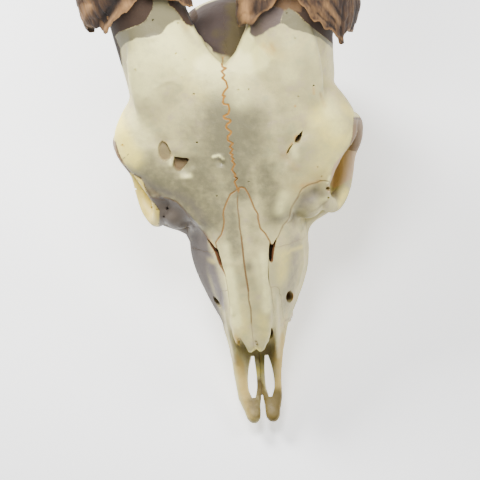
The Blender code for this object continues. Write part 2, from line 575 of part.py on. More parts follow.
def build_body():
    """The whole bony skull as one skin, before its openings are cut."""
    masses = [loft("face", FACE), loft("roof", NASAL_ROOF), loft("forehead", FOREHEAD),
              loft("braincase", BRAINCASE), loft("base", SKULL_BASE), ball("palate", *PALATE_FRONT)]
    for side in (-1, 1):
        masses.append(sweep("crest", to_side(CHEEK_CREST, side), CHEEK_CREST_THICK))
        masses.append(sweep("foot", to_side(HORN_FOOT, side), HORN_FOOT_THICK))
        masses.append(sweep("notch", to_side(NOTCH_CREST, side), NOTCH_CREST_THICK))
        masses.append(horn_core(side))
        for centre, halves in (EAR_BULB, EAR_WALL, CONDYLE, LAC_SWELL):
            masses.append(ball("swelling", (side * centre[0], *centre[1:]), halves))
    body = fuse("skull", masses, SKIN)
    even_out(body, BLENDING)
    combine(body, loft("saddle", HORN_SADDLE), "DIFFERENCE")
    for side in (-1, 1):
        for centre, halves in (EYE_SOCKET, EYE_FUNNEL, TEMPLE_PIT):
            combine(body, ball("socket", (side * centre[0], *centre[1:]), halves), "DIFFERENCE")
    extras = [body]
    for side in (-1, 1):
        extras.append(sweep("rim", to_side(ORBIT_RIM, side), ORBIT_RIM_THICK, closed=True))
        for points, thick in ((CHEEK_ARCH, CHEEK_ARCH_THICK), (NASAL_PROCESS, NASAL_PROCESS_THICK),
                              (ORBIT_FLOOR, ORBIT_FLOOR_THICK),
                              (SNOUT_BRANCH, SNOUT_BRANCH_THICK), (SNOUT_SPLINT, SNOUT_SPLINT_THICK),
                              (SNOUT_PLATE, SNOUT_PLATE_THICK),
                              (EAR_ROD, EAR_ROD_THICK), (WING_PLATE, WING_PLATE_THICK),
                              (WING_HOOK, WING_HOOK_THICK)):
            extras.append(sweep("bar", to_side(points, side), thick))
        centre, halves = SNOUT_TIP
        extras.append(ball("tip", (side * centre[0], *centre[1:]), halves))
    body = fuse("skull", extras, SKIN)
    return even_out(body, SMOOTHING)


def bend_snout(body):
    """Give each side of the snout its own width."""
    for vert in body.data.vertices:
        rows = SNOUT_WIDTH[1 if vert.co.x > 0 else -1]
        vert.co.x *= float(np.interp(vert.co.y / MM, [row[0] for row in rows], [row[1] for row in rows]))


def open_body(body):
    """Thin the skin to few faces and cut the openings of the bony skull."""
    bend_snout(body)
    thin = body.modifiers.new("thin", "DECIMATE")
    thin.ratio = SKULL_FACES / (2 * len(body.data.polygons))
    thin.use_collapse_triangulate = True
    settle(body)
    for side in (-1, 1):
        for lobe in tooth_row(side):
            combine(body, lobe, "UNION")
    combine(body, loft("passage", NOSE_PASSAGE, PASSAGE_SIDES), "DIFFERENCE")
    combine(body, loft("throat", THROAT, THROAT_SIDES), "DIFFERENCE")
    combine(body, loft("spine", SPINE_HOLE, THROAT_SIDES), "DIFFERENCE")
    combine(body, sweep("opening", SNOUT_GAP, SNOUT_GAP_THICK, sides=HOLE_SIDES, steps_each=2), "DIFFERENCE")
    for side in (-1, 1):
        trim = [(side * x, s) for x, s in NASAL_TRIM]
        combine(body, prism("trim", trim, *NASAL_TRIM_SPAN, 0.0, "z"), "DIFFERENCE")
        for points, thick in ((SNOUT_SLOT, SNOUT_SLOT_THICK), (BREATH_SLIT, BREATH_SLIT_THICK),
                              (CHEEK_HOLE, CHEEK_HOLE_THICK), (BROW_HOLE, BROW_HOLE_THICK)):
            tool = sweep("opening", to_side(points, side), thick, sides=HOLE_SIDES, steps_each=2)
            combine(body, tool, "DIFFERENCE")
    combine(body, prism("floor", FLOOR_BOX, -FLOOR_HALF, FLOOR_HALF, 0.0, "x"), "DIFFERENCE")
    return keep_largest(body)


def material(name, colour, rough):
    """A plain coloured material for one kind of surface."""
    made = bpy.data.materials.new(name)
    made.use_nodes = True
    shader = made.node_tree.nodes["Principled BSDF"]
    shader.inputs["Base Color"].default_value = colour
    shader.inputs["Roughness"].default_value = rough
    shader.inputs["Metallic"].default_value = 0.0
    return made


def main():
    """Build every bone and sheath, and stand the skull's box on the origin."""
    for thing in list(bpy.data.objects):
        bpy.data.objects.remove(thing)
    body = open_body(build_body())
    nodes = []
    for side, word in ((1, "left"), (-1, "right")):
        nodes.append(part_off(body, "nasal_" + word, NASAL_BORDER, *NASAL_SPAN, side, "z"))
    for side, word in ((1, "left"), (-1, "right")):
        for kind, (border, low, high) in SIDE_BONES.items():
            nodes.append(part_off(body, kind + "_" + word, border, low, high, side))
    body.name = "cranium"
    nodes.append(body)
    bone = material("bone", BONE_COLOUR, 0.55)
    snout = material("snout_bone", SNOUT_COLOUR, 0.55)
    horn = material("horn", HORN_COLOUR, 0.6)
    for node in nodes:
        node.data.materials.clear()
        node.data.materials.append(snout if node.name.startswith("premaxilla") else bone)
    for side, word in ((1, "left"), (-1, "right")):
        sheath = horn_sheath(side, "horn_" + word)
        sheath.data.materials.append(horn)
        nodes.append(sheath)
    corners = [vert.co for node in nodes for vert in node.data.vertices]
    low = Vector([min(co[i] for co in corners) for i in range(3)])
    high = Vector([max(co[i] for co in corners) for i in range(3)])
    shift = Matrix.Translation((-(low.x + high.x) / 2, -(low.y + high.y) / 2, -low.z))
    for node in nodes:
        node.data.transform(shift)
        node.data.shade_smooth()
        node.data.set_sharp_from_angle(angle=math.radians(SHARP))
        print(node.name, sum(len(face.vertices) - 2 for face in node.data.polygons), "triangles")


main()
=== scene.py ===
# %% [markdown]
# # A goat skull, life size
# The skull lies on its cheek teeth on a pale floor, seen from above and in front.
# The imported model comes first. It says how big every bone is and where it lies, and
# each piece made below stands in for one of its nodes.
#
# This notebook melts simple masses into one skin, carves it, saws it into bones along
# their sutures, grows the horn sheaths ring by ring, and paints on stains, shade and
# highlights.

# %% Start from the fixed frame
import math
import bmesh
import bpy
import numpy as np
from mathutils import Matrix, Vector, noise
from mathutils.bvhtree import BVHTree


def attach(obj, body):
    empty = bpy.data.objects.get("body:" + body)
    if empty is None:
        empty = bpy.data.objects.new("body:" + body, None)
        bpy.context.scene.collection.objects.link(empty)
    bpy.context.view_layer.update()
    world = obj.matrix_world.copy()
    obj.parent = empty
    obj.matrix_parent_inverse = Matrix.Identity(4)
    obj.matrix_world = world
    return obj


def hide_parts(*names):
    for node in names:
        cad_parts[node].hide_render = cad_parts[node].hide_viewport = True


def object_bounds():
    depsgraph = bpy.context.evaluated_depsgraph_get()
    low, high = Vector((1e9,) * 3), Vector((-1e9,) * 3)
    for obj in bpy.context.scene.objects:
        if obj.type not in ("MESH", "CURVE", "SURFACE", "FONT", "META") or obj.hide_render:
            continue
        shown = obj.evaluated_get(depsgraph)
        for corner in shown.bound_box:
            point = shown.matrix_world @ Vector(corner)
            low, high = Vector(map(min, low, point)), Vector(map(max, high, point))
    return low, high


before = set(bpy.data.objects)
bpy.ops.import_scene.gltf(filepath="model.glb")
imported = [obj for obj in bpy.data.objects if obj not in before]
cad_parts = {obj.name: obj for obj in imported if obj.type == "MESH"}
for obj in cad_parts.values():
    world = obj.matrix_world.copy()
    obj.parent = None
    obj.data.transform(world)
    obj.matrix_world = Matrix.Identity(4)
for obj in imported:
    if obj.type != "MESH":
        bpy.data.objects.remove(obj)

solid_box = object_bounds()
print("the skull's box, in metres:", solid_box)

# %% [markdown]
# ## Measures
# Bones are easier to draw in millimetres, as (x, s, z): x to the animal's left, s back
# from the tip of the snout, and z up from the floor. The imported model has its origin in
# the middle of its box, so one shift takes a drawn place to its place in the frame.

# %% Millimetres from the tip of the snout
MM = 0.001
SNOUT_START = 4.39           # s of the foremost bone
MIDDLE = (solid_box[1][1] - solid_box[0][1]) / MM / 2 + SNOUT_START
print("the frame's origin lies", round(MIDDLE, 1), "mm behind the tip of the snout")


def placed(points):
    """Drawn places in millimetres as places in the frame, in metres."""
    return (np.asarray(points, float) - (0, MIDDLE, 0)) * MM


def drawn(points):
    """Places in the frame, in metres, as drawn places in millimetres."""
    return np.asarray(points, float) / MM + (0, MIDDLE, 0)


# %% [markdown]
# ## Camera
# The photograph looks down on the forehead from the front, a little from the animal's
# left, with the picture turned so that the snout points down. A long lens a metre away
# keeps the perspective as weak as it is there. The camera is made first, because marks
# on the bone are later placed by where they show in the picture.

# %% Set the camera
PICTURE = 480                # pixels on a side
AROUND = math.radians(14.0)  # how far to the animal's left the camera stands
ABOVE = math.radians(65.0)
TURN = math.radians(17.55)
DISTANCE = 1000.0
PIXELS_EACH = 1.978          # pixels for each millimetre at the aim
AIM = (0, 95, 70)
AIM_PIXEL = (242.6, 215.1)   # where the aim shows in the picture
FILM = 36.0
VIEW_START = 0.01            # metres from the camera

toward = Vector((math.sin(AROUND) * math.cos(ABOVE), -math.cos(AROUND) * math.cos(ABOVE),
                 math.sin(ABOVE)))
level = Vector((math.cos(AROUND), math.sin(AROUND), 0))
steep = toward.cross(level)
right = level * math.cos(TURN) - steep * math.sin(TURN)
up = level * math.sin(TURN) + steep * math.cos(TURN)
eye = Vector(placed(AIM)) + toward * DISTANCE * MM

lens = bpy.data.cameras.new("camera")
lens.sensor_width = FILM
lens.lens = FILM * PIXELS_EACH * DISTANCE / PICTURE
lens.shift_x = (PICTURE / 2 - AIM_PIXEL[0]) / PICTURE
lens.shift_y = (AIM_PIXEL[1] - PICTURE / 2) / PICTURE
lens.clip_start = VIEW_START
camera = bpy.data.objects.new("camera", lens)
bpy.context.scene.collection.objects.link(camera)
camera.matrix_world = Matrix.Translation(eye) @ Matrix((right, up, toward)).transposed().to_4x4()
bpy.context.scene.camera = camera
print("lens:", round(lens.lens, 1), "mm")


def sight(pixel):
    """The direction in which the camera sees a pixel of the picture."""
    a = (pixel[0] - AIM_PIXEL[0]) / PIXELS_EACH
    b = (AIM_PIXEL[1] - pixel[1]) / PIXELS_EACH
    return (right * a + up * b - toward * DISTANCE).normalized()


# %% [markdown]
# ## Floor and light
# The floor is a plain pale sheet that glows a little, as a light table does. The strongest
# lamp hangs behind the animal's right, so the crests, the horn cores and the brow catch the
# light, which falls off towards the snout. A weaker lamp at the animal's left lights the
# other brow, a small one over the forehead softens the shade, and a faint sky lifts the rest.

# %% Lay the floor and hang the lights
FLOOR_SIZE = 14.0
# place in metres, size in metres, power in watts
LIGHTS = {
    "back": ((-0.29, 0.20, 0.39), 0.20, 7.4),
    "side": ((0.41, -0.05, 0.39), 0.20, 2.0),
    "top": ((0.0, -0.09, 0.34), 0.12, 1.15),
}
SKY = 0.08
FLOOR_GLOW = 0.9
WHITE = (1.0, 1.0, 1.0, 1.0)


def to_object(name, bm):
    """Turn a bmesh into an object of the scene."""
    mesh = bpy.data.meshes.new(name)
    bm.to_mesh(mesh)
    bm.free()
    thing = bpy.data.objects.new(name, mesh)
    bpy.context.scene.collection.objects.link(thing)
    return thing


bm = bmesh.new()
bmesh.ops.create_grid(bm, x_segments=1, y_segments=1, size=FLOOR_SIZE / 2)
floor = to_object("floor", bm)

for name, (place, size, power) in LIGHTS.items():
    lamp = bpy.data.lights.new(name, "AREA")
    lamp.shape = "DISK"
    lamp.size = size
    lamp.energy = power
    holder = bpy.data.objects.new(name, lamp)
    holder.visible_camera = False
    bpy.context.scene.collection.objects.link(holder)
    aim = Vector(placed(AIM)) - Vector(place)
    holder.matrix_world = Matrix.Translation(place) @ aim.to_track_quat("-Z", "Y").to_matrix().to_4x4()

sky = bpy.data.worlds.new("sky")
bpy.context.scene.world = sky
sky.use_nodes = True
sky.node_tree.nodes["Background"].inputs["Color"].default_value = WHITE
sky.node_tree.nodes["Background"].inputs["Strength"].default_value = SKY
print("lamps:", ", ".join(LIGHTS))

# %% [markdown]
# ## Tools for shapes
# A skull has no straight edges, so it is built like a clay model. A loft runs through
# upright ovals, a sweep runs a small oval along a curve, and a ball is stretched to
# size. Each is a closed body from circles and bridged loops. A voxel remesh then melts
# the bodies into one skin of even grain, which a few rounds of smoothing ease.

# %% Curves through a few points
def smooth_path(points, steps):
    """Rows of numbers at even steps along a smooth curve through the given rows."""
    knots = np.asarray(points, float)
    knots = np.vstack((knots[0] * 2 - knots[1], knots, knots[-1] * 2 - knots[-2]))
    spans = len(points) - 1
    path = []
    for k in range(steps + 1):
        place = min(k * spans / steps, spans - 1e-9)
        i = int(place)
        t = place - i
        a, b, c, d = knots[i:i + 4]
        path.append(0.5 * (2 * b + (c - a) * t + (2 * a - 5 * b + 4 * c - d) * t * t
                           + (3 * b - a - 3 * c + d) * t ** 3))
    return path


def to_side(points, side):
    """The same points on the left (1) or right (-1) side."""
    return [(side * p[0], *p[1:]) for p in points]


# %% Objects from meshes
def link(name, bm):
    """Turn a drawn bmesh, in millimetres, into an object in the frame, with its faces pointing out."""
    bmesh.ops.translate(bm, vec=(0, -MIDDLE, 0), verts=bm.verts)
    bmesh.ops.scale(bm, vec=(MM, MM, MM), verts=bm.verts)
    bmesh.ops.recalc_face_normals(bm, faces=bm.faces)
    return to_object(name, bm)


def drop(thing):
    """Remove an object and its mesh."""
    mesh = thing.data
    bpy.data.objects.remove(thing)
    bpy.data.meshes.remove(mesh)


def settle(thing):
    """Apply an object's modifiers to its mesh."""
    depsgraph = bpy.context.evaluated_depsgraph_get()
    mesh = bpy.data.meshes.new_from_object(thing.evaluated_get(depsgraph))
    old = thing.data
    thing.modifiers.clear()
    thing.data = mesh
    bpy.data.meshes.remove(old)
    return thing


def corners(thing):
    """All vertex places of an object, as an array."""
    flat = np.empty(len(thing.data.vertices) * 3, np.float32)
    thing.data.vertices.foreach_get("co", flat)
    return flat.reshape(-1, 3).astype(float)


def put_corners(thing, places):
    """Give an object's vertices new places."""
    thing.data.vertices.foreach_set("co", places.astype(np.float32).ravel())
    thing.data.update()


def raise_skin(thing, places, rise):
    """Move an object's drawn places out along its normals, by millimetres."""
    outward = np.empty(len(places) * 3, np.float32)
    thing.data.vertex_normals.foreach_get("vector", outward)
    put_corners(thing, placed(places + outward.reshape(-1, 3) * rise[:, None]))


# %% Lofts, sweeps and balls
UPRIGHT = 0.35               # a bar whose level share is less than this counts as upright


def close_tube(bm, rings):
    """Bridge a row of vertex rings into one closed skin."""
    loops = []
    for verts in rings:
        loops.append(list({edge for vert in verts for edge in vert.link_edges}))
    for near, far in zip(loops, loops[1:]):
        bmesh.ops.bridge_loops(bm, edges=near + far)
    bmesh.ops.holes_fill(bm, edges=bm.edges, sides=0)
    bmesh.ops.triangulate(bm, faces=[face for face in bm.faces if len(face.verts) > 4])


def add_ring(bm, spots):
    """A ring of vertices at given places."""
    verts = bmesh.ops.create_circle(bm, segments=len(spots), radius=1.0)["verts"]
    for vert, spot in zip(verts, spots):
        vert.co = spot
    return verts


def squared(value, power):
    """A circle's sine or cosine, drawn out towards a square."""
    return math.copysign(abs(value) ** (2.0 / power), value)


def loft(name, sections, sides=72, steps_each=3):
    """A closed body through upright sections, each widest at its own height."""
    bm = bmesh.new()
    rings = []
    rows = smooth_path(sections, (len(sections) - 1) * steps_each)
    for s, half, widest, top, bottom, top_power, bottom_power in rows:
        verts = bmesh.ops.create_circle(bm, segments=sides, radius=1.0)["verts"]
        for vert in verts:
            power = top_power if vert.co.y >= 0 else bottom_power
            rise = (top - widest) if vert.co.y >= 0 else (widest - bottom)
            height = widest + rise * squared(vert.co.y, power)
            vert.co = Vector((half * squared(vert.co.x, power), s, height))
        rings.append(verts)
    close_tube(bm, rings)
    return link(name, bm)


def sweep(name, points, thick, closed=False, sides=24, steps_each=6):
    """A bar along a curve, with its sideways and upright half thickness at each point."""
    spans = len(points) if closed else len(points) - 1
    route = points + [points[0]] if closed else points
    widths = [(t, t) if isinstance(t, (int, float)) else t for t in thick]
    widths = widths + [widths[0]] if closed else widths
    steps = spans * steps_each
    path = [Vector(p) for p in smooth_path(route, steps)]
    spread = smooth_path(widths, steps)
    bm = bmesh.new()
    rings = []
    for k, centre in enumerate(path):
        tangent = (path[min(k + 1, steps)] - path[max(k - 1, 0)]).normalized()
        across = tangent.cross(Vector((0, 0, 1)))
        across = Vector((1, 0, 0)) - tangent * tangent.x if across.length < UPRIGHT else across
        across = across.normalized()
        if across.x < 0:
            across = -across
        upright = tangent.cross(across).normalized()
        place = Matrix((across * spread[k][0], upright * spread[k][1], tangent)).transposed().to_4x4()
        place.translation = centre
        rings.append(bmesh.ops.create_circle(bm, segments=sides, radius=1.0, matrix=place)["verts"])
    close_tube(bm, rings)
    return link(name, bm)


def ball(name, centre, halves):
    """An ellipsoid."""
    place = Matrix.Translation(Vector(centre)) @ Matrix.Diagonal((*halves, 1.0))
    bm = bmesh.new()
    bmesh.ops.create_icosphere(bm, subdivisions=5, radius=1.0, matrix=place)
    return link(name, bm)


# %% Melting, smoothing and cutting
def join(name, things):
    """Put closed bodies into one object."""
    bm = bmesh.new()
    for thing in things:
        bm.from_mesh(thing.data)
        drop(thing)
    return to_object(name, bm)


def fuse(name, things, grain):
    """Melt closed bodies that overlap into one skin of even grain."""
    body = join(name, things)
    skin = body.modifiers.new("skin", "REMESH")
    skin.mode = "VOXEL"
    skin.voxel_size = grain * MM
    return settle(body)


def even_out(body, rounds):
    """Round off creases and steps."""
    even = body.modifiers.new("even", "SMOOTH")
    even.factor = 0.5
    even.iterations = rounds
    return settle(body)


def combine(body, tool, operation):
    """Cut, join or trim a body by a tool, and remove the tool."""
    step = body.modifiers.new("step", "BOOLEAN")
    step.operation = operation
    step.object = tool
    step.solver = "MANIFOLD"
    settle(body)
    drop(tool)
    return body


def keep_largest(body):
    """Keep only the connected surface with the most vertices."""
    mesh = body.data
    count = len(mesh.vertices)
    ends = np.empty(len(mesh.edges) * 2, np.int32)
    mesh.edges.foreach_get("vertices", ends)
    ends = ends.reshape(-1, 2)
    group = np.arange(count)
    while True:
        lowest = np.minimum(group[ends[:, 0]], group[ends[:, 1]])
        fresh = group.copy()
        np.minimum.at(fresh, ends[:, 0], lowest)
        np.minimum.at(fresh, ends[:, 1], lowest)
        fresh = fresh[fresh]
        if np.array_equal(fresh, group):
            break
        group = fresh
    names, sizes = np.unique(group, return_counts=True)
    if len(names) > 1:
        bm = bmesh.new()
        bm.from_mesh(mesh)
        best = names[np.argmax(sizes)]
        doomed = [vert for vert, mark in zip(bm.verts, group) if mark != best]
        bmesh.ops.delete(bm, geom=doomed, context="VERTS")
        bm.to_mesh(mesh)
        bm.free()
    return body


# %% [markdown]
# ## The masses of the skull
# Each row of a loft gives its place, half width, the height where it is widest, its top
# and bottom, and how square it is above and below. The same measures shaped the solids,
# so the finished bones lie where the solids lie.

# %% Lofted masses
FACE = [
    (44, 12.5, 26, 49.5, 14.5, 2.1, 3.0), (54, 17.0, 28, 57, 15, 2.1, 3.2),
    (64, 22.0, 31, 64.5, 15.5, 2.1, 3.4), (75, 27.0, 36, 71.5, 16, 2.1, 3.4),
    (84, 30.0, 41, 77, 16.5, 2.0, 3.2), (94, 30.5, 45, 83, 17, 2.0, 3.0),
    (104, 30.5, 47, 88, 17.5, 2.0, 2.8), (114, 29.0, 49, 92, 19, 2.0, 2.6),
    (123, 26.0, 52, 96, 24, 2.0, 2.4), (132, 21.0, 60, 98, 36, 2.0, 2.2)]
NASAL_ROOF = [
    (31.5, 5.0, 38.5, 41.5, 37.2, 2.2, 2.2), (35, 8.0, 39.5, 44, 37.6, 2.3, 2.2),
    (39, 9.8, 41.5, 46.8, 39.0, 2.4, 2.2), (46, 11.0, 46, 51.8, 43, 2.4, 2.2),
    (56, 12.2, 53, 59, 49, 2.4, 2.2), (68, 13.2, 62.5, 67.6, 58, 2.4, 2.2),
    (80, 14.0, 70, 74.8, 66, 2.4, 2.2), (92, 14.0, 77, 82.2, 72, 2.4, 2.2),
    (100, 14.0, 82, 87.3, 76, 2.4, 2.2)]
FOREHEAD = [
    (88, 20.0, 72, 79.5, 56, 2.2, 2.0), (96, 30.0, 76, 84.5, 62, 2.2, 2.0),
    (103, 40.0, 80, 90, 68, 2.2, 2.2), (110, 48.0, 85, 96, 78, 2.2, 2.6),
    (118, 54.5, 89, 102.8, 83, 2.3, 2.8), (126, 59.5, 91.5, 109.5, 85, 2.3, 3.0),
    (133, 61.8, 92.5, 114.8, 84, 2.2, 2.6), (141, 58.8, 94, 120, 79, 2.1, 2.2),
    (149, 52.5, 97, 125, 74, 2.1, 2.0), (153.5, 49.5, 98, 125.8, 72, 2.2, 2.0),
    (159, 46.0, 99, 125.8, 70, 2.2, 2.0), (164, 43.5, 99, 122.5, 68, 2.2, 2.0),
    (170, 40.0, 98, 118, 66, 2.2, 2.0), (176, 36.0, 94, 116, 62, 2.2, 2.0)]
BRAINCASE = [
    (140, 27.0, 84, 112, 54, 2.0, 2.0), (152, 32.0, 84, 116, 47, 2.0, 2.0),
    (166, 34.5, 82, 119, 42, 2.0, 2.2), (178, 35.0, 79, 120, 39, 1.9, 2.4),
    (190, 34.5, 74, 116.5, 37, 1.8, 2.4), (200, 33.0, 68, 108, 36, 1.8, 2.6),
    (206.5, 28.0, 62, 97.5, 36, 1.9, 2.6), (211.5, 19.0, 55, 80, 37, 2.0, 2.4)]
SKULL_BASE = [
    (112, 8.0, 54, 62, 44, 2.0, 2.0), (130, 8.5, 50, 60, 42, 2.0, 2.2), (150, 9.0, 46, 58, 38.5, 2.0, 2.4),
    (170, 11.0, 42, 56, 35, 2.0, 2.6), (190, 14.0, 41, 54, 33.5, 2.0, 2.8),
    (206, 17.0, 41, 52, 34, 2.0, 2.6)]
ROOF = [(20, 33.5), (31.5, 41.5), (65, 65.5), (86, 78.5), (99.5, 87), (112, 97.5)]

# %% Bars and blades, each with its path and its half thickness along it
ORBIT_RIM = ([(42.2, 104, 79), (46.2, 109.8, 84), (51.4, 117, 87.6), (57.6, 125, 90.2),
              (58.6, 134, 89.5), (60.0, 135.5, 81), (59.0, 132.5, 71), (55.2, 127, 63.5),
              (53.2, 118, 59.5), (50.2, 108.5, 58.5), (45.6, 101.2, 60.5), (42, 99.5, 70)],
             [3.2, 3.0, 2.8, 3.2, 3.8, 4.2, 3.9, 3.6, 3.4, 3.8, 4.2, 3.8])
CHEEK_CREST = ([(24.5, 77, 33), (26.0, 85, 39), (26.8, 94, 44.5), (32, 100.5, 50), (41.5, 103, 55.5),
                (48, 108, 57.5)],
               [(3.4, 7.0), (3.8, 8.0), (3.6, 7.0), (4.0, 5.4), (4.2, 5.0), (3.6, 4.0)])
HORN_FOOT = ([(28, 116, 94), (28.5, 128, 101), (29.5, 138, 110), (31, 147, 121), (33, 156, 134),
              (36, 168, 147)],
             [(12, 4), (15, 6), (17.5, 6.5), (18, 6.5), (15, 6), (8, 4)])
NOTCH_CREST = ([(7, 157, 117), (11.5, 161.5, 121), (15.5, 165.5, 126.5), (19, 169.5, 133), (23, 174, 141)],
               [(5, 7), (5.5, 7.5), (5.5, 8), (5, 8), (4, 7)])
BARS = [
    ([(54.5, 128, 61), (54, 138, 60), (51.5, 149, 58.5), (46, 160, 57), (39, 170, 56), (32, 176, 58)],
     [(2.6, 4.4), (2.4, 5.0), (2.4, 4.6), (2.8, 4.4), (4.2, 5.0), (5.5, 7.0)]),
    ([(38, 103, 56), (42, 111, 54.5), (44.5, 119, 54.5), (47, 127, 57), (51, 134, 62)],
     [(5, 2.6), (7.5, 2.4), (7.5, 2.4), (6, 2.6), (4, 2.6)]),
    ([(10.4, 36, 20), (11.2, 42, 27), (12.0, 49, 38), (12.4, 55, 47), (12.2, 59.5, 53)],
     [(1.6, 3.2), (1.5, 4.6), (1.5, 4.8), (1.4, 3.6), (1.2, 2.0)]),
    ([(6.4, 9, 9.6), (8.4, 18, 11.3), (9.2, 27, 14), (10.2, 36, 17.5), (12.0, 45, 22), (14.2, 54, 26)],
     [(2.8, 2.5), (2.7, 2.7), (2.6, 3.0), (2.7, 3.6), (2.8, 4.6), (3.0, 5.0)]),
    ([(4.6, 10, 9.6), (4.8, 22, 12.2), (5.2, 34, 15.6), (6.0, 46, 17.4)],
     [(3.6, 2.3), (4.4, 1.7), (5.0, 1.7), (6.4, 2.2)]),
    ([(1.5, 17, 11.2), (1.3, 25, 13.2), (1.3, 34, 15.4), (1.9, 44, 17)],
     [(1.2, 1.6), (1.2, 1.8), (1.2, 2.0), (1.6, 2.0)]),
    ([(27, 199, 48), (25.5, 203, 30), (23.5, 205, 14), (22, 204.5, -2)],
     [(4.5, 6.5), (3.4, 5.6), (2.8, 4.8), (2.2, 4.0)]),
    ([(12.5, 112, 34), (11.5, 122, 36), (10.5, 132, 39), (10.5, 142, 43)],
     [(2.0, 15), (1.5, 15), (1.3, 12), (1.6, 8)]),
    ([(10.5, 136, 32), (11, 140, 25), (12, 143.5, 20)],
     [(1.4, 3.6), (1.2, 2.6), (1.0, 1.6)])]
SNOUT_TIP = ((5.4, 9.6, 9.6), (4.2, 5.4, 2.9))

# %% Swellings, and the openings that are cut
SWELLINGS = [
    ((19.5, 181, 32), (7, 11, 10.5)), ((33, 194, 60), (5.5, 9, 15)), ((12.5, 211.5, 43), (8.0, 8.5, 11.5)),
    ((33, 99, 69), (8, 8, 9))]
PALATE_FRONT = ((0, 47, 17.5), (12.5, 9, 2.8))
SOCKETS = [
    ((47, 120, 75), (24, 17.0, 13.8)), ((30, 130, 71), (15, 19, 12)), ((47, 151, 78), (14.5, 16, 15))]
HORN_SADDLE = [
    (151.5, 0.5, 133, 240, 125, 2.0, 2.0), (153.5, 2.2, 131, 240, 121.5, 2.0, 2.2),
    (156, 4.4, 130, 240, 118.5, 2.0, 2.4), (161, 8.0, 130, 240, 117, 2.0, 2.6),
    (166, 11.2, 131, 240, 117.2, 2.0, 2.6), (172, 14.2, 133, 240, 118, 2.0, 2.6),
    (184, 17.0, 137, 240, 120, 2.0, 2.6)]
PASSAGES = [
    [(20, 7.5, 30, 31.2, 25, 2.2, 2.0), (31, 8.2, 34, 38.4, 24, 2.2, 2.0),
     (40, 9.0, 36, 44.8, 23, 2.3, 2.2), (48, 10.6, 36, 50.6, 22.5, 2.3, 2.4),
     (58, 14.2, 37, 57.6, 21.5, 2.3, 2.4), (70, 19.0, 42, 66, 21.5, 2.2, 2.4),
     (82, 20.5, 48, 73, 24, 2.2, 2.2), (92, 16.0, 56, 77, 34, 2.2, 2.0), (98, 7.0, 62, 74, 50, 2.0, 2.0)],
    [(110, 6.5, 30, 36, 10, 2.0, 2.0), (122, 8.0, 32, 40, 8, 2.0, 2.0), (140, 8.4, 30, 39, 0, 2.0, 2.0),
     (152, 8.4, 26, 33, 0, 2.0, 2.0)],
    [(186, 9.0, 57, 66, 48, 2.0, 2.0), (200, 10.0, 54, 64, 45, 2.0, 2.0),
     (212, 10.2, 51, 61.5, 41, 2.0, 2.0), (226, 12.0, 50, 62, 36, 2.0, 2.0)]]
SNOUT_GAP = ([(0, 3, 10), (0, 12, 10.5), (0, 19, 11.5)], [(1.5, 8), (1.2, 8), (0.5, 8)])
SNOUT_SLOT = ([(4.3, 17.5, 12), (4.6, 23, 13.4), (4.3, 31, 15.4), (3.6, 38.5, 17.5)],
              [(1.0, 9), (2.5, 9), (2.2, 9), (0.9, 9)])

# %% [markdown]
# ## The horns' line
# A goat's horn is a keeled oval that rises from the forehead and sweeps back. The bony
# core and the sheath share one centre line, which starts inside the forehead, and one
# keel in front. Both are worked out step by step along that line.

# %% Walk along the horn
HORN_ROOT = (30.2, 156.5, 96.5)
HORN_LEAN = 63.0             # degrees above the level plane at the root
HORN_SPREAD = 7.0            # degrees outwards at the root
HORN_CURL = 76.0             # degrees that the line turns back over its length
HORN_TWIST = 20.0            # degrees more outwards at the tip
HORN_HOOK = 1.15             # over 1, the curl gathers towards the tip
HORN_LENGTH = 352.0
HORN_STEPS = 60
KEEL_ANGLE = 142.0           # direction of the front keel, from outwards (0) to forwards (90)
KEEL_RISE = 0.15
KEEL_WIDTH = 0.36            # radians over which the keel fades out


def horn_line(side):
    """Centre points and frames of a horn, one for each step along it."""
    step = HORN_LENGTH / HORN_STEPS
    place = Vector((side * HORN_ROOT[0], HORN_ROOT[1], HORN_ROOT[2]))
    line = []
    for k in range(HORN_STEPS + 1):
        share = k / HORN_STEPS
        lean = math.radians(HORN_LEAN - HORN_CURL * share ** HORN_HOOK)
        spread = math.radians(HORN_SPREAD + HORN_TWIST * share)
        along = Vector((side * math.sin(spread), math.cos(lean) * math.cos(spread),
                        math.sin(lean) * math.cos(spread)))
        out = Vector((side, 0, 0))
        out = (out - along * out.dot(along)).normalized()
        front = along.cross(out) * -side
        line.append((place.copy(), out, front))
        place += along * step
    return [np.array(part) for part in zip(*line)]


def horn_points(line, reach, angle, halves, shift=0.0):
    """Places on the horn's keeled oval, for arrays of the reach along it and the angle round it."""
    at = np.clip(reach / HORN_LENGTH * HORN_STEPS, 0, HORN_STEPS - 1e-6)
    i = at.astype(int)
    t = (at - i)[:, None]
    centre, out, front = [part[i] * (1 - t) + part[i + 1] * t for part in line]
    off_keel = np.radians((angle - KEEL_ANGLE + 180) % 360 - 180)
    swell = 1 + KEEL_RISE * np.exp(-(off_keel / KEEL_WIDTH) ** 2)
    sideways = halves[0] * np.cos(np.radians(angle)) * swell + shift
    forwards = halves[1] * np.sin(np.radians(angle)) * swell
    return centre + out * sideways[:, None] + front * forwards[:, None]


# %% The bony core
CORE_LENGTH = 128.0
CORE_HALF = (21.0, 21.0)
CORE_TIP = 0.42
CORE_FLARE = 0.06
CORE_FOOT = 26.0             # reach of the flare at the core's foot
CORE_CLEAR = 0.9             # between the core and the inside of its sheath


def core_size(reach):
    """How much of its base size the core still has, reach along it."""
    share = np.minimum(reach / CORE_LENGTH, 1.0)
    flare = 1 + CORE_FLARE * np.maximum(0.0, 1 - reach / CORE_FOOT) ** 2
    return (CORE_TIP + (1 - CORE_TIP) * (1 - share ** 2)) * flare


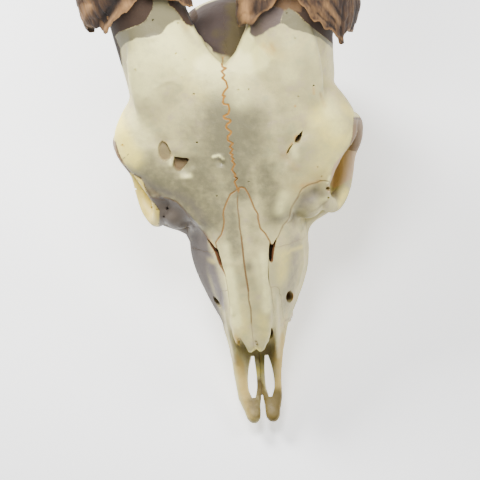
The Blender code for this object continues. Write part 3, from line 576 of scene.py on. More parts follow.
def horn_core(side, sides=72, rows=40):
    """The bony core of a horn, rooted in the forehead."""
    line = horn_line(side)
    bm = bmesh.new()
    rings = []
    angles = np.arange(sides) * 360.0 / sides
    for reach in np.linspace(0, CORE_LENGTH, rows):
        size = core_size(reach)
        halves = (CORE_HALF[0] * size, CORE_HALF[1] * size)
        rings.append(add_ring(bm, horn_points(line, np.full(sides, reach), angles, halves)))
    close_tube(bm, rings)
    return link("core", bm)


# %% [markdown]
# ## One skin of bone
# The masses are melted and smoothed, then the saddle between the horns and the eye
# sockets are hollowed, and the thin bars join in a second melt, with little smoothing so
# that they stay crisp.

# %% Melt the skull together
GRAIN = 0.9
FIRST_ROUNDS = 44
LAST_ROUNDS = 7

masses = [
    loft("face", FACE), loft("roof", NASAL_ROOF), loft("forehead", FOREHEAD), loft("braincase", BRAINCASE),
    loft("base", SKULL_BASE), ball("palate", *PALATE_FRONT)]
for side in (-1, 1):
    masses.append(sweep("crest", to_side(CHEEK_CREST[0], side), CHEEK_CREST[1]))
    masses.append(sweep("foot", to_side(HORN_FOOT[0], side), HORN_FOOT[1]))
    masses.append(sweep("notch", to_side(NOTCH_CREST[0], side), NOTCH_CREST[1]))
    masses.append(horn_core(side))
    for centre, halves in SWELLINGS:
        masses.append(ball("swelling", (side * centre[0], *centre[1:]), halves))
skull = even_out(fuse("skull", masses, GRAIN), FIRST_ROUNDS)
combine(skull, loft("saddle", HORN_SADDLE), "DIFFERENCE")
for side in (-1, 1):
    for centre, halves in SOCKETS:
        combine(skull, ball("socket", (side * centre[0], *centre[1:]), halves), "DIFFERENCE")
extras = [skull]
for side in (-1, 1):
    extras.append(sweep("rim", to_side(ORBIT_RIM[0], side), ORBIT_RIM[1], closed=True))
    for points, thick in BARS:
        extras.append(sweep("bar", to_side(points, side), thick))
    extras.append(ball("tip", (side * SNOUT_TIP[0][0], *SNOUT_TIP[0][1:]), SNOUT_TIP[1]))
skull = even_out(fuse("skull", extras, GRAIN), LAST_ROUNDS)
print("vertices in the skin:", len(skull.data.vertices))

# %% [markdown]
# ## Places read off the picture
# Sutures, pits, stains, painted shade and painted highlights have no rule to follow, so they
# are placed by where they show in the photograph. A ray from the camera through a pixel
# finds the spot on the skin. From then on the mark is part of the bone, and it is right from
# every side.

# %% From pixels to the skin
def tree_of(thing):
    """A search tree of an object's faces."""
    return BVHTree.FromObject(thing, bpy.context.evaluated_depsgraph_get())


skin = tree_of(skull)


NEAR_START = 0.80            # metres from the camera where the skull begins, and where it ends
NEAR_END = 1.10
NEAR_STEP = 0.002


def meet(tree, pixel):
    """The spot and normal of a piece at a pixel, or the piece's nearest spot if the pixel misses it."""
    way = sight(pixel)
    hit, normal = tree.ray_cast(eye, way)[:2]
    if hit is None:
        stops = [eye + way * reach for reach in np.arange(NEAR_START, NEAR_END, NEAR_STEP)]
        hit, normal = min((tree.find_nearest(stop) for stop in stops), key=lambda found: found[3])[:2]
    return hit, normal


def on_piece(tree, pixels):
    """The drawn places on a piece that show at pixels of the picture."""
    return drawn([meet(tree, pixel)[0] for pixel in pixels])


def on_skin(pixels):
    """The drawn places on the skull's skin that show at pixels of the picture."""
    return on_piece(skin, pixels)


def near_path(places, path):
    """The distance from each place to a line through the points of a path."""
    best = np.full(len(places), np.inf)
    for a, b in zip(path[:-1], path[1:]) if len(path) > 1 else [(path[0], path[0])]:
        along = b - a
        share = np.clip((places - a) @ along / max(along @ along, 1e-9), 0, 1)
        best = np.minimum(best, np.linalg.norm(places - a - share[:, None] * along, axis=1))
    return best


FADE = 2.4                   # widths beyond which a stroke is not felt


def in_box(places, ends, margin):
    """Which places lie in the box round some points, or within a margin of it."""
    low, high = np.min(ends, axis=0) - margin, np.max(ends, axis=0) + margin
    return np.all((places > low) & (places < high), axis=1)


def stroke(places, path, width):
    """A soft stroke along a path: 1 on it, fading over its width in millimetres."""
    felt = np.zeros(len(places))
    near = in_box(places, path, FADE * width)
    if near.any():
        felt[near] = np.exp(-(near_path(places[near], path) / width) ** 2)
    return felt


# %% [markdown]
# ## Sculpting
# Sharp crests run from each horn down to the notch between them, the nerve openings lie in
# shallow gutters, and the bone is never quite even. As with a sculpting brush, each stroke
# raises or sinks the skin along its normals, most in the middle and fading outwards.

# %% Brush strokes: rise and width in millimetres, then the pixels that it runs through
# the edge of the left brow
BROW_EDGE = [
    (115.3, 141.4), (116.6, 146.8), (118.4, 153), (122, 160.2), (125.5, 166.4), (130, 171.8),
    (134.5, 174.5), (140.7, 178.5), (143.4, 182.5), (145.2, 187.9), (147, 193.2), (149.6, 197.7),
    (155, 203.9), (159.5, 210.2)]
RELIEF = {
    "left crest of the notch": (0.8, 1.6, [
        (184, 10), (190, 25.5), (198, 37), (207, 46), (215, 51), (222, 63)]),
    "right crest of the notch": (1.1, 1.4, [
        (250.6, 25.5), (244.8, 35.7), (239.7, 47), (234.6, 57), (229.5, 62.5)]),
    "second right crest": (0.6, 1.6, [(250, 37), (259, 47), (271, 58.7)]),
    "facet between the crests": (0.5, 3.0, [(249, 44), (247, 52), (243, 62)]),
    "step inside the left brow's edge": (-0.5, 0.8, BROW_EDGE[:8]),
    "arc on the left horn's foot": (0.5, 1.4, [(148, 97), (154, 88), (164, 82), (173, 80.5), (181, 85)]),
    "hollow under the arc": (-0.7, 4.5, [(160, 98), (168, 92), (176, 95)]),
    "edge of the left core": (0.35, 1.2, [
        (157, 37), (148, 38.5), (136, 43.5), (130, 50.5), (128, 61), (127, 68)]),
    "left nerve gutter": (-1.5, 4.0, [(164, 144), (167, 154), (176, 162), (184, 168)]),
    "bump between the left holes": (0.9, 1.3, [(170.8, 160), (171, 165)]),
    "rough bumps under the left holes": (0.8, 1.7, [(179, 173), (184, 178), (190, 177), (192, 170)]),
    "fan under the left holes": (0.5, 2.0, [(178, 180), (184, 186)]),
    "right nerve gutter": (-1.4, 3.6, [(302, 132), (297, 140), (292, 150), (288, 158)]),
    "rough bumps by the right slit": (0.7, 1.8, [(297, 148), (294, 156), (291, 165)]),
    "glinting dent": (-1.3, 1.4, [(219, 161.5), (221.5, 163.5)]),
    "raised edge of the dent": (0.5, 0.9, [(213.5, 157), (218, 155), (222, 157)]),
    "right edge of the tear bone": (0.7, 1.3, [(301, 192), (295, 201), (291, 209), (289, 217), (283, 226)]),
    "hollow of the right tear bone": (-0.9, 4.0, [(316, 192), (306, 200), (299, 212)]),
    "left edge of the tear bone": (0.5, 1.3, [(156, 196), (172, 199), (184, 208), (199, 224)]),
    "hollow of the left tear bone": (-1.1, 4.0, [(160, 207), (172, 212), (184, 224)]),
    "left nasal ridge": (0.45, 1.1, [(224, 262), (227, 276), (229, 293), (233, 314)]),
    "right nasal ridge": (0.4, 1.2, [(264, 250), (265.5, 270), (267, 290), (270, 318)]),
    "right brow": (0.5, 2.8, [(314, 92), (320, 106), (328, 120)]),
    "right temple hollow": (-0.5, 4.0, [(306, 80), (308, 100), (313, 118)]),
    "left temple hollow": (-0.5, 4.0, [(146, 112), (150, 126), (150, 140)]),
    "middle of the brow": (-0.5, 6.0, [(243, 112), (243, 130), (246, 145)]),
    "left cheek groove": (-0.6, 1.4, [(184, 236), (197, 249), (212, 257)]),
    "right cheek ridge": (0.5, 1.6, [(301, 243), (303, 262), (298, 283)]),
}
UNEVEN_RISE = 0.28           # millimetres
UNEVEN_WAVES = (0.09, 0.21)  # coarse and fine waves for each millimetre
UNEVEN_FINE = 0.5            # how strong the fine waves are

# how much wider than drawn each side of the snout is, at s
SNOUT_WIDTH = {
    -1: [(4, 0.88), (10, 0.98), (18, 1.12), (30, 1.15), (42, 1.08), (58, 1.0)],
    1: [(4, 0.96), (10, 0.95), (18, 0.93), (30, 0.92), (42, 0.96), (58, 1.0)],
}

places = drawn(corners(skull))
for side, rows in SNOUT_WIDTH.items():
    chosen = places[:, 0] * side > 0
    places[chosen, 0] *= np.interp(places[chosen, 1], [row[0] for row in rows], [row[1] for row in rows])
put_corners(skull, placed(places))
skin = tree_of(skull)
rise = np.zeros(len(places))
for depth, width, pixels in RELIEF.values():
    rise += depth * stroke(places, on_skin(pixels), width)
coarse, fine = [np.array([noise.noise(Vector(place) * waves) for place in places])
                for waves in UNEVEN_WAVES]
rise += UNEVEN_RISE * (coarse + UNEVEN_FINE * fine)
raise_skin(skull, places, rise)
skin = tree_of(skull)
print("sculpted between", round(float(rise.min()), 2), "and", round(float(rise.max()), 2), "mm")

# %% [markdown]
# ## Openings
# The nose, the throat and the hole for the spinal cord are cut with lofts that reach well
# past the surface. The slits and nerve holes of the face are drawn in the picture: each
# becomes a shaft that starts over the skin and narrows as it goes in.

# %% Trim the points of the nasal bones
NASAL_POINTS = [
    (236.9, 337.3), (239.8, 336.6), (244.5, 343), (248, 350), (250.8, 350.8), (255.5, 347), (261, 351),
    (263, 349), (265.6, 340.5), (268.8, 337.3), (271.3, 337.9)]
TRIM_START = 22.0
TRIM_SIDE = 15.0
NASAL_TRIM_DEPTH = 5.5
NASAL_TRIM_RISE = 10
ROOF_GUESS = 50.0            # s from which a spot on the roof is searched
ROOF_TRIES = 20


def roof_height(s):
    """Height of the roof of the nose on the midline, s back from the snout."""
    return float(np.interp(s, [row[0] for row in ROOF], [row[1] for row in ROOF]))


def on_roof(pixel):
    """The drawn (x, s) on the roof of the nose that shows at a pixel."""
    start, way = drawn([eye])[0], np.array(sight(pixel))
    s = ROOF_GUESS
    for _ in range(ROOF_TRIES):
        x, s, z = start + way * (roof_height(s) - start[2]) / way[2]
    return x, s


def prism(name, outline, low, high, grow, axis):
    """An outline in (s, z) drawn out along x, or in (x, s) drawn up along z, and grown a little."""
    bm = bmesh.new()
    if axis == "x":
        start = [bm.verts.new((low, s, z)) for s, z in outline]
        move = Vector((high - low, 0, 0))
    else:
        start = [bm.verts.new((x, s, low)) for x, s in outline]
        move = Vector((0, 0, high - low))
    made = bmesh.ops.extrude_face_region(bm, geom=[bm.faces.new(start)])["geom"]
    moved = [item for item in made if isinstance(item, bmesh.types.BMVert)]
    bmesh.ops.translate(bm, vec=move, verts=moved)
    if axis == "z":
        for vert in bm.verts:
            vert.co.z += roof_height(vert.co.y)
    bmesh.ops.recalc_face_normals(bm, faces=bm.faces)
    bm.normal_update()
    shifts = [(vert, vert.normal * vert.calc_shell_factor() * grow) for vert in bm.verts]
    for vert, shift in shifts:
        vert.co += shift
    bmesh.ops.triangulate(bm, faces=bm.faces)
    return link(name, bm)


# %% Shafts and pits, drawn as outlines in the picture
# depth in millimetres, how wide the far end is, and the outline
SHAFTS = {
    "left nerve hole": (2.0, 0.8, [
        (162, 140.4), (166.4, 143), (170, 149), (171.8, 154.6), (170.4, 159), (165, 162), (159.4, 158),
        (157.7, 150), (159, 143.4)]),
    "second left nerve hole": (2.8, 0.8, [
        (174.3, 156.4), (181, 157.2), (188.8, 158.6), (184.8, 167), (178.6, 171.4), (173, 166.6)]),
    "right nerve slit": (5.0, 0.5, [
        (302.8, 130.2), (301.8, 136.5), (298.8, 142.5), (294.6, 143.3), (295.4, 138), (299, 134)]),
    "right nerve groove": (1.6, 0.6, [
        (293.4, 143.4), (291, 148), (287.6, 154), (286.2, 153.4), (289.4, 147)]),
    "left breathing slit": (5.0, 0.8, [
        (207.2, 238.2), (210.6, 241.4), (215, 247.6), (217.6, 249), (220, 256.5), (222.8, 267.2),
        (225.9, 276.6), (223, 271.4), (218.6, 263.7), (215.2, 253.6), (211.4, 246.6)]),
    "right breathing slit": (5.5, 0.8, [
        (277, 237.6), (275.2, 245.7), (274, 252.1), (273.2, 260.4), (271.4, 263), (269.3, 260.4),
        (268.7, 255), (269, 248), (269.8, 242.6), (272.4, 244.4), (274.6, 241)]),
    "lower right slit": (3.0, 0.6, [
        (268.6, 267.8), (268.9, 274), (269.5, 283.6), (268.6, 281), (267.9, 274)]),
    "right cheek hole": (7.0, 0.7, [
        (290.5, 290.4), (293.2, 293.6), (293.4, 298.4), (290.8, 302.6), (287.4, 302), (286.4, 297),
        (288, 292.4)]),
    "left cheek hole": (6.0, 0.7, [
        (213.2, 295.6), (216.4, 298.4), (219.2, 302.6), (220.8, 307.8), (217.2, 305.6), (214.2, 301)]),
}
# pixel, and radius in pixels
PITS = [
    (175.9, 53.7, 1.2), (184.8, 59.4, 0.8), (135.4, 69.6, 1.0), (193.8, 94, 1.3), (181.6, 77.3, 0.8),
    (153, 20, 1.2), (178, 23, 1.1), (294.9, 38.5, 1.0), (287, 13, 0.9), (298.4, 96.5, 0.9),
    (248.7, 89.3, 1.0), (238.5, 89.9, 0.9), (216.8, 195.9, 0.9), (248.6, 181.7, 0.9), (196.9, 142.5, 1.1),
    (122.3, 145.1, 1.1), (317.6, 167.2, 0.9), (321.6, 176.3, 0.8), (313.7, 85.7, 1.1), (328.3, 188.7, 2.3),
    (328.6, 197.9, 1.3), (167, 208.7, 1.6), (151.8, 207.3, 1.0), (157, 209.6, 0.9), (134, 189.5, 1.2),
    (163.9, 216.5, 1.2), (256.3, 341.5, 0.9), (257.2, 344.6, 0.9)]
PIT_DEPTH = 2.2              # depth over radius
PIT_NARROW = 0.4
PIT_SIDES = 6
SHAFT_SIDES = 40
SHAFT_START = -2.0           # millimetres into the bone, so this is over the skin
SHAFT_LIP = 0.4              # down to here a shaft keeps its full width


def shaft(outline, depth, narrow):
    """A closed tool that enters the bone through an outline in the picture."""
    middle = np.mean(outline, axis=0)
    centre, normal = meet(skin, middle)
    way = (sight(middle) - normal).normalized()
    ways = [sight(pixel) for pixel in smooth_path(outline + outline[:1], SHAFT_SIDES)[:-1]]
    rim = [eye + ray * ((centre - eye).dot(normal) / ray.dot(normal)) for ray in ways]
    bm = bmesh.new()
    rings = []
    halfway = (depth / 2, (1 + narrow) / 2)
    for reach, size in ((SHAFT_START, 1.0), (SHAFT_LIP, 1.0), halfway, (depth, narrow)):
        spots = [centre + (spot - centre) * size + way * reach * MM for spot in rim]
        rings.append(add_ring(bm, drawn(spots)))
    close_tube(bm, rings)
    return link("shaft", bm)


def round_outline(x, y, radius):
    """A small round outline in the picture."""
    turns = np.arange(PIT_SIDES) * 2 * math.pi / PIT_SIDES
    return [(x + radius * math.cos(turn), y + radius * math.sin(turn)) for turn in turns]


# %% Cut the openings
PASSAGE_SIDES = 48
GROUND = [(-40, -40), (260, -40), (260, 0), (-40, 0)]  # what lies under the teeth, as (s, z)
GROUND_SIDE = 120

for sections in PASSAGES:
    combine(skull, loft("passage", sections, PASSAGE_SIDES), "DIFFERENCE")
combine(skull, sweep("gap", *SNOUT_GAP), "DIFFERENCE")
for side in (-1, 1):
    combine(skull, sweep("slot", to_side(SNOUT_SLOT[0], side), SNOUT_SLOT[1]), "DIFFERENCE")
trim = [(-TRIM_SIDE, TRIM_START)] + [on_roof(pixel) for pixel in NASAL_POINTS] + [(TRIM_SIDE, TRIM_START)]
combine(skull, prism("trim", trim, -NASAL_TRIM_DEPTH, NASAL_TRIM_RISE, 0.0, "z"), "DIFFERENCE")
for depth, narrow, outline in SHAFTS.values():
    combine(skull, shaft(outline, depth, narrow), "DIFFERENCE")
pits = [shaft(round_outline(x, y, r), PIT_DEPTH * r / PIXELS_EACH, PIT_NARROW) for x, y, r in PITS]
combine(skull, join("pits", pits), "DIFFERENCE")
combine(skull, prism("ground", GROUND, -GROUND_SIDE, GROUND_SIDE, 0.0, "x"), "DIFFERENCE")
keep_largest(skull)
print("vertices after the openings:", len(skull.data.vertices))

# %% [markdown]
# ## Cheek teeth
# Six teeth stand in a row on each side, worn flat by grinding, and the skull rests on them.
# A grazer's molar is two half moons side by side, so each lobe is a rounded post with its
# outer face pinched into ribs and a sunken dish of dentine in its worn end.

# %% Grow a row of teeth
# length along the row, width, and number of lobes of each tooth
TEETH = [(7.5, 6.5, 1), (8.5, 8.5, 1), (9.5, 10.5, 1), (12.0, 12.0, 2), (14.0, 12.5, 2), (14.5, 12.0, 2)]
ROW = [(13.2, 62), (18.6, 90), (21.6, 128)]  # the middle of the row, as (x, s)
TOOTH_GAP = 0.3
TOOTH_ROOT = 20.0
TOOTH_SIDES = 40
# height and spread of each ring
TOOTH_RINGS = [
    (0.9, 0.30), (0.7, 0.50), (0.15, 0.62), (0.0, 0.72), (0.0, 0.80), (0.5, 0.87), (2.2, 0.98), (6.0, 1.03),
    (10.0, 1.05), (TOOTH_ROOT, 0.86)]
TOOTH_CROWDING = 1.12
OUTER_RIBS = 6
RIB_DEPTH = 0.10
INNER_PINCH = 0.06


def tooth_lobe(side, x, s, width, length):
    """One lobe of a tooth, from its worn end up to its root."""
    bm = bmesh.new()
    rings = []
    for height, spread in TOOTH_RINGS:
        verts = bmesh.ops.create_circle(bm, segments=TOOTH_SIDES, radius=1.0)["verts"]
        for vert in verts:
            turn = math.atan2(vert.co.y, vert.co.x)
            outer = max(0.0, math.cos(turn))
            rib = RIB_DEPTH * outer * math.cos(OUTER_RIBS * turn)
            pinch = 1 + rib - INNER_PINCH * (1 - outer) * math.cos(2 * turn)
            vert.co = Vector((side * (x + width / 2 * spread * pinch * math.cos(turn)),
                              s + length / 2 * spread * TOOTH_CROWDING * pinch * math.sin(turn), height))
        rings.append(verts)
    close_tube(bm, rings)
    return link("lobe", bm)


def tooth_row(side):
    """The six cheek teeth of one side."""
    lobes = []
    s = ROW[0][1]
    for length, width, count in TEETH:
        for lobe in range(count):
            middle = s + length * (lobe + 0.5) / count
            x = float(np.interp(middle, [end[1] for end in ROW], [end[0] for end in ROW]))
            lobes.append(tooth_lobe(side, x, middle, width, length / count))
        s += length + TOOTH_GAP
    row = lobes.pop(0)
    for lobe in lobes:
        combine(row, lobe, "UNION")
    return row


teeth = [tooth_row(side) for side in (1, -1)]
for row, word in zip(teeth, ("left", "right")):
    row.name = "teeth_" + word
    print(row.name, len(row.data.vertices), "vertices")

# %% [markdown]
# ## Sutures
# The bones of a skull meet in wavy lines. Each bone is sawn off with a prism whose outline
# is traced where the picture shows the suture, or sways to and fro with seeded steps where
# it doesn't. The nasals and the frontals are taken off in pairs and split by one wall.

# %% Sutures traced in the picture
FOREHEAD_SUTURE = [
    (222.8, 57.4), (221.9, 63.8), (222.2, 67), (226.4, 68.2), (221.3, 71.4), (224.8, 75.3), (221.9, 78.1),
    (225.7, 81), (227.6, 87.4), (223.9, 92), (222.3, 95.5), (225.2, 96.1), (223.3, 98.4), (222.8, 103.2),
    (224.2, 104.3), (228.1, 104.4), (229.5, 109.2), (228.5, 113.7), (223.6, 116.2), (223.6, 117.5),
    (225.2, 118.8), (229.3, 119.4), (230.9, 121), (229.7, 122.6), (227.1, 123.9), (226, 127.1),
    (227.4, 129), (231.1, 131.5), (230.9, 133.5), (227.7, 136.3), (227.7, 140.2), (232.9, 143.4),
    (229.5, 146.9), (232.9, 149.2), (229.9, 153.4), (232.9, 154.9), (231.4, 156.8), (233.7, 159.1),
    (231.8, 160.7), (234.9, 164.1), (231.8, 169.9), (235.6, 174.8), (234.3, 176.4), (237.5, 178.3),
    (234.5, 181.7), (235.6, 184.8), (238.7, 190.1)]
NOSE_SUTURE = [
    (237.4, 199.1), (237.8, 208.7), (239.2, 219.5), (239.5, 225.9), (241.4, 237.4), (242.7, 248.9),
    (244, 261.6), (245.9, 275.7), (248.4, 290.7), (248.7, 299.6), (250.9, 309.8), (251.4, 322)]
LEFT_NASAL_EDGE = [
    (230, 305), (228, 290), (225.5, 275.7), (222.6, 267.4), (219.8, 256.5), (216.9, 247.6), (215.6, 242.8),
    (217.5, 239.9), (221.4, 234.8), (223.6, 226.6), (224.2, 221.5), (223.3, 215.7), (223.6, 210.6),
    (226.5, 202.6), (230.3, 194.3), (233.5, 192.1)]
RIGHT_NASAL_EDGE = [
    (241, 187), (244.9, 188.3), (248.1, 193.4), (251.3, 200.4), (254.2, 208.1), (258, 214.4), (258, 218.9),
    (260.3, 228.5), (265.7, 234.2), (270.1, 241.9), (269.2, 250.2), (268.1, 273.5), (269.4, 283.7),
    (271.3, 290.7), (272.6, 303.5)]
TEAR_EDGES = {
    1: [
        (327.4, 181.2), (320, 180.7), (314.8, 183), (307.3, 185.3), (302.1, 188.7), (299.9, 192.1),
        (297.6, 197.3), (294.1, 202.5), (291.2, 207.6), (289.5, 216.3), (287.2, 220.3), (283.2, 224.9),
        (280.3, 231.2), (278, 236.9)],
    -1: [
        (155.8, 197.6), (165.6, 197), (172.5, 199.9), (177.1, 201.6), (183.4, 208.5), (190.3, 217.6),
        (198.9, 225.1), (204, 232), (208, 238.3)],
}

# %% Sutures drawn from the species, as (s, z) outlines
SAW = 0.08                   # width of the cut
SNOUT_BORDER = [
    (-8, -6), (45, -6), (46, 15), (48.5, 27), (52.5, 38), (57, 46.5), (61, 53.5), (58, 62), (30, 62),
    (-8, 34)]
CHEEK_BORDER = [
    (44, -6), (127, -6), (127, 28), (123, 40), (112, 44), (101, 42), (94, 45), (88, 51.5), (83, 59),
    (77.5, 66), (72, 80), (55, 76), (44, 62)]
TEAR_BORDER = [
    (70, 82), (70, 76), (74, 65), (80, 56), (87, 49.5), (94, 59.5), (99.5, 65), (112, 68.5), (112, 79),
    (106, 92), (84, 92)]
JUGAL_BORDER = [
    (84, 50), (93, 38), (101, 36), (140, 44), (153, 50), (147, 70), (121, 70), (112, 73), (100, 76),
    (90, 66)]
BROW_BORDER = [
    (66, 62), (76, 64), (92, 64), (104, 72), (117, 79), (120, 67), (149, 67), (151, 85), (168, 94),
    (181, 104), (190.5, 113), (196, 121), (207, 134), (262, 196), (262, 300), (60, 300)]
NASAL_FRONT = [(-11.5, 48), (-12.6, 44), (-12.6, 26), (12.6, 26), (12.6, 44), (12.3, 50)]
NASAL_DEPTH = 6.6
NASAL_RISE = 12
# each side bone's outline, and how far from the midline it starts and ends
SIDE_BONES = {
    "premaxilla": (SNOUT_BORDER, SAW / 2, 60),
    "maxilla": (CHEEK_BORDER, SAW / 2, 70),
    "lacrimal": (TEAR_BORDER, 15.0, 70),
    "zygomatic": (JUGAL_BORDER, 30.5, 90),
}
TEAR_CORNERS = [(62, 106), (12, 74), (12, 60), (62, 60)]  # round the tear bone from above, as (x, s)
TEAR_HEIGHTS = (-120, 120)
BROW_SIDE = 160
SIDE_SWAY = (2.2, 0.45)      # step and reach of the sway, in millimetres
SWAY_SHARE = (0.3, 1.0)      # how much of its reach each sway has
SIDE_SEED = 20
SEED_STEP = 10
BROW_SEED = 5


def wavy(outline, sway, seed):
    """The same outline with a fine seeded to-and-fro."""
    draw = np.random.default_rng(seed)
    made = []
    for a, b in zip(outline, outline[1:] + outline[:1]):
        start = Vector(a)
        along = Vector(b) - start
        across = Vector((-along.y, along.x)).normalized()
        count = max(1, round(along.length / sway[0]))
        for k in range(count):
            off = sway[1] * draw.uniform(*SWAY_SHARE) * (-1) ** k if k else 0.0
            made.append(tuple(start + along * (k / count) + across * off))
    return made


def from_above(pixels):
    """The (x, s) of the places on the skin that show at pixels."""
    return [(float(x), float(s)) for x, s, z in on_skin(pixels)]


def region(shapes, grow):
    """The closed body that lies inside all of several prisms, grown a little."""
    body = prism("region", *shapes[0][:3], grow, shapes[0][3])
    for outline, low, high, axis in shapes[1:]:
        combine(body, prism("more", outline, low, high, grow, axis), "INTERSECT")
    return body


def take(body, name, shapes):
    """Saw the region inside the prisms off the body."""
    bone = bpy.data.objects.new(name, body.data.copy())
    bpy.context.scene.collection.objects.link(bone)
    combine(bone, region(shapes, -SAW / 2), "INTERSECT")
    combine(body, region(shapes, SAW / 2), "DIFFERENCE")
    return bone


def split(block, name, wall):
    """Saw a block that spans the midline into a left and a right bone."""
    left = take(block, name + "_left", [(wall, *WALL_HEIGHTS, "z")])
    block.name = name + "_right"
    return [keep_largest(left), keep_largest(block)]


# %% The wall between left and right
MIDLINE_START = 24.0
MIDLINE_END = 270.0
BACK_ZIGZAG = (1.5, 0.9)     # step and reach behind the notch
ZIGZAG_STEP = (0.7, 1.3)     # least and greatest share of the step
ZIGZAG_REACH = (0.35, 1.0)   # and of the reach
WALL_SIDE = 170.0
WALL_HEIGHTS = (-200, 300)   # from the roof of the nose
WALL_SEED = 7

draw = np.random.default_rng(WALL_SEED)
wall = [(0.0, MIDLINE_START)] + from_above(NOSE_SUTURE[::-1] + FOREHEAD_SUTURE[::-1])
turn = 1
while wall[-1][1] < MIDLINE_END:
    across = turn * BACK_ZIGZAG[1] * draw.uniform(*ZIGZAG_REACH)
    wall.append((across, wall[-1][1] + BACK_ZIGZAG[0] * draw.uniform(*ZIGZAG_STEP)))
    turn = -turn
wall += [(WALL_SIDE, wall[-1][1]), (WALL_SIDE, MIDLINE_START)]
print("points in the wall:", len(wall))

# %% Saw the skull into its bones
bones = []
nasal_outline = NASAL_FRONT + from_above(RIGHT_NASAL_EDGE)[::-1] + from_above(LEFT_NASAL_EDGE)[::-1]
nasals = take(skull, "nasal", [(nasal_outline, -NASAL_DEPTH, NASAL_RISE, "z")])
bones += split(nasals, "bone_nasal", wall)
for side, word in ((1, "left"), (-1, "right")):
    seed = SIDE_SEED + side
    tear_corners = to_side(TEAR_CORNERS, side)
    tear_front = tear_corners[:1] + from_above(TEAR_EDGES[side]) + tear_corners[1:]
    for name, (border, low, high) in SIDE_BONES.items():
        seed += SEED_STEP
        shapes = [(wavy(border, SIDE_SWAY, seed), *sorted((side * low, side * high)), "x")]
        if name == "lacrimal":
            shapes.append((tear_front, *TEAR_HEIGHTS, "z"))
        bones.append(keep_largest(take(skull, "bone_" + name + "_" + word, shapes)))
brow_outline = wavy(BROW_BORDER, SIDE_SWAY, BROW_SEED)
brow = take(skull, "frontal", [(brow_outline, -BROW_SIDE, BROW_SIDE, "x")])
bones += split(brow, "bone_frontal", wall)
skull.name = "bone_cranium"
bones.append(keep_largest(skull))
for bone in bones:
    print(bone.name, len(bone.data.vertices), "vertices")
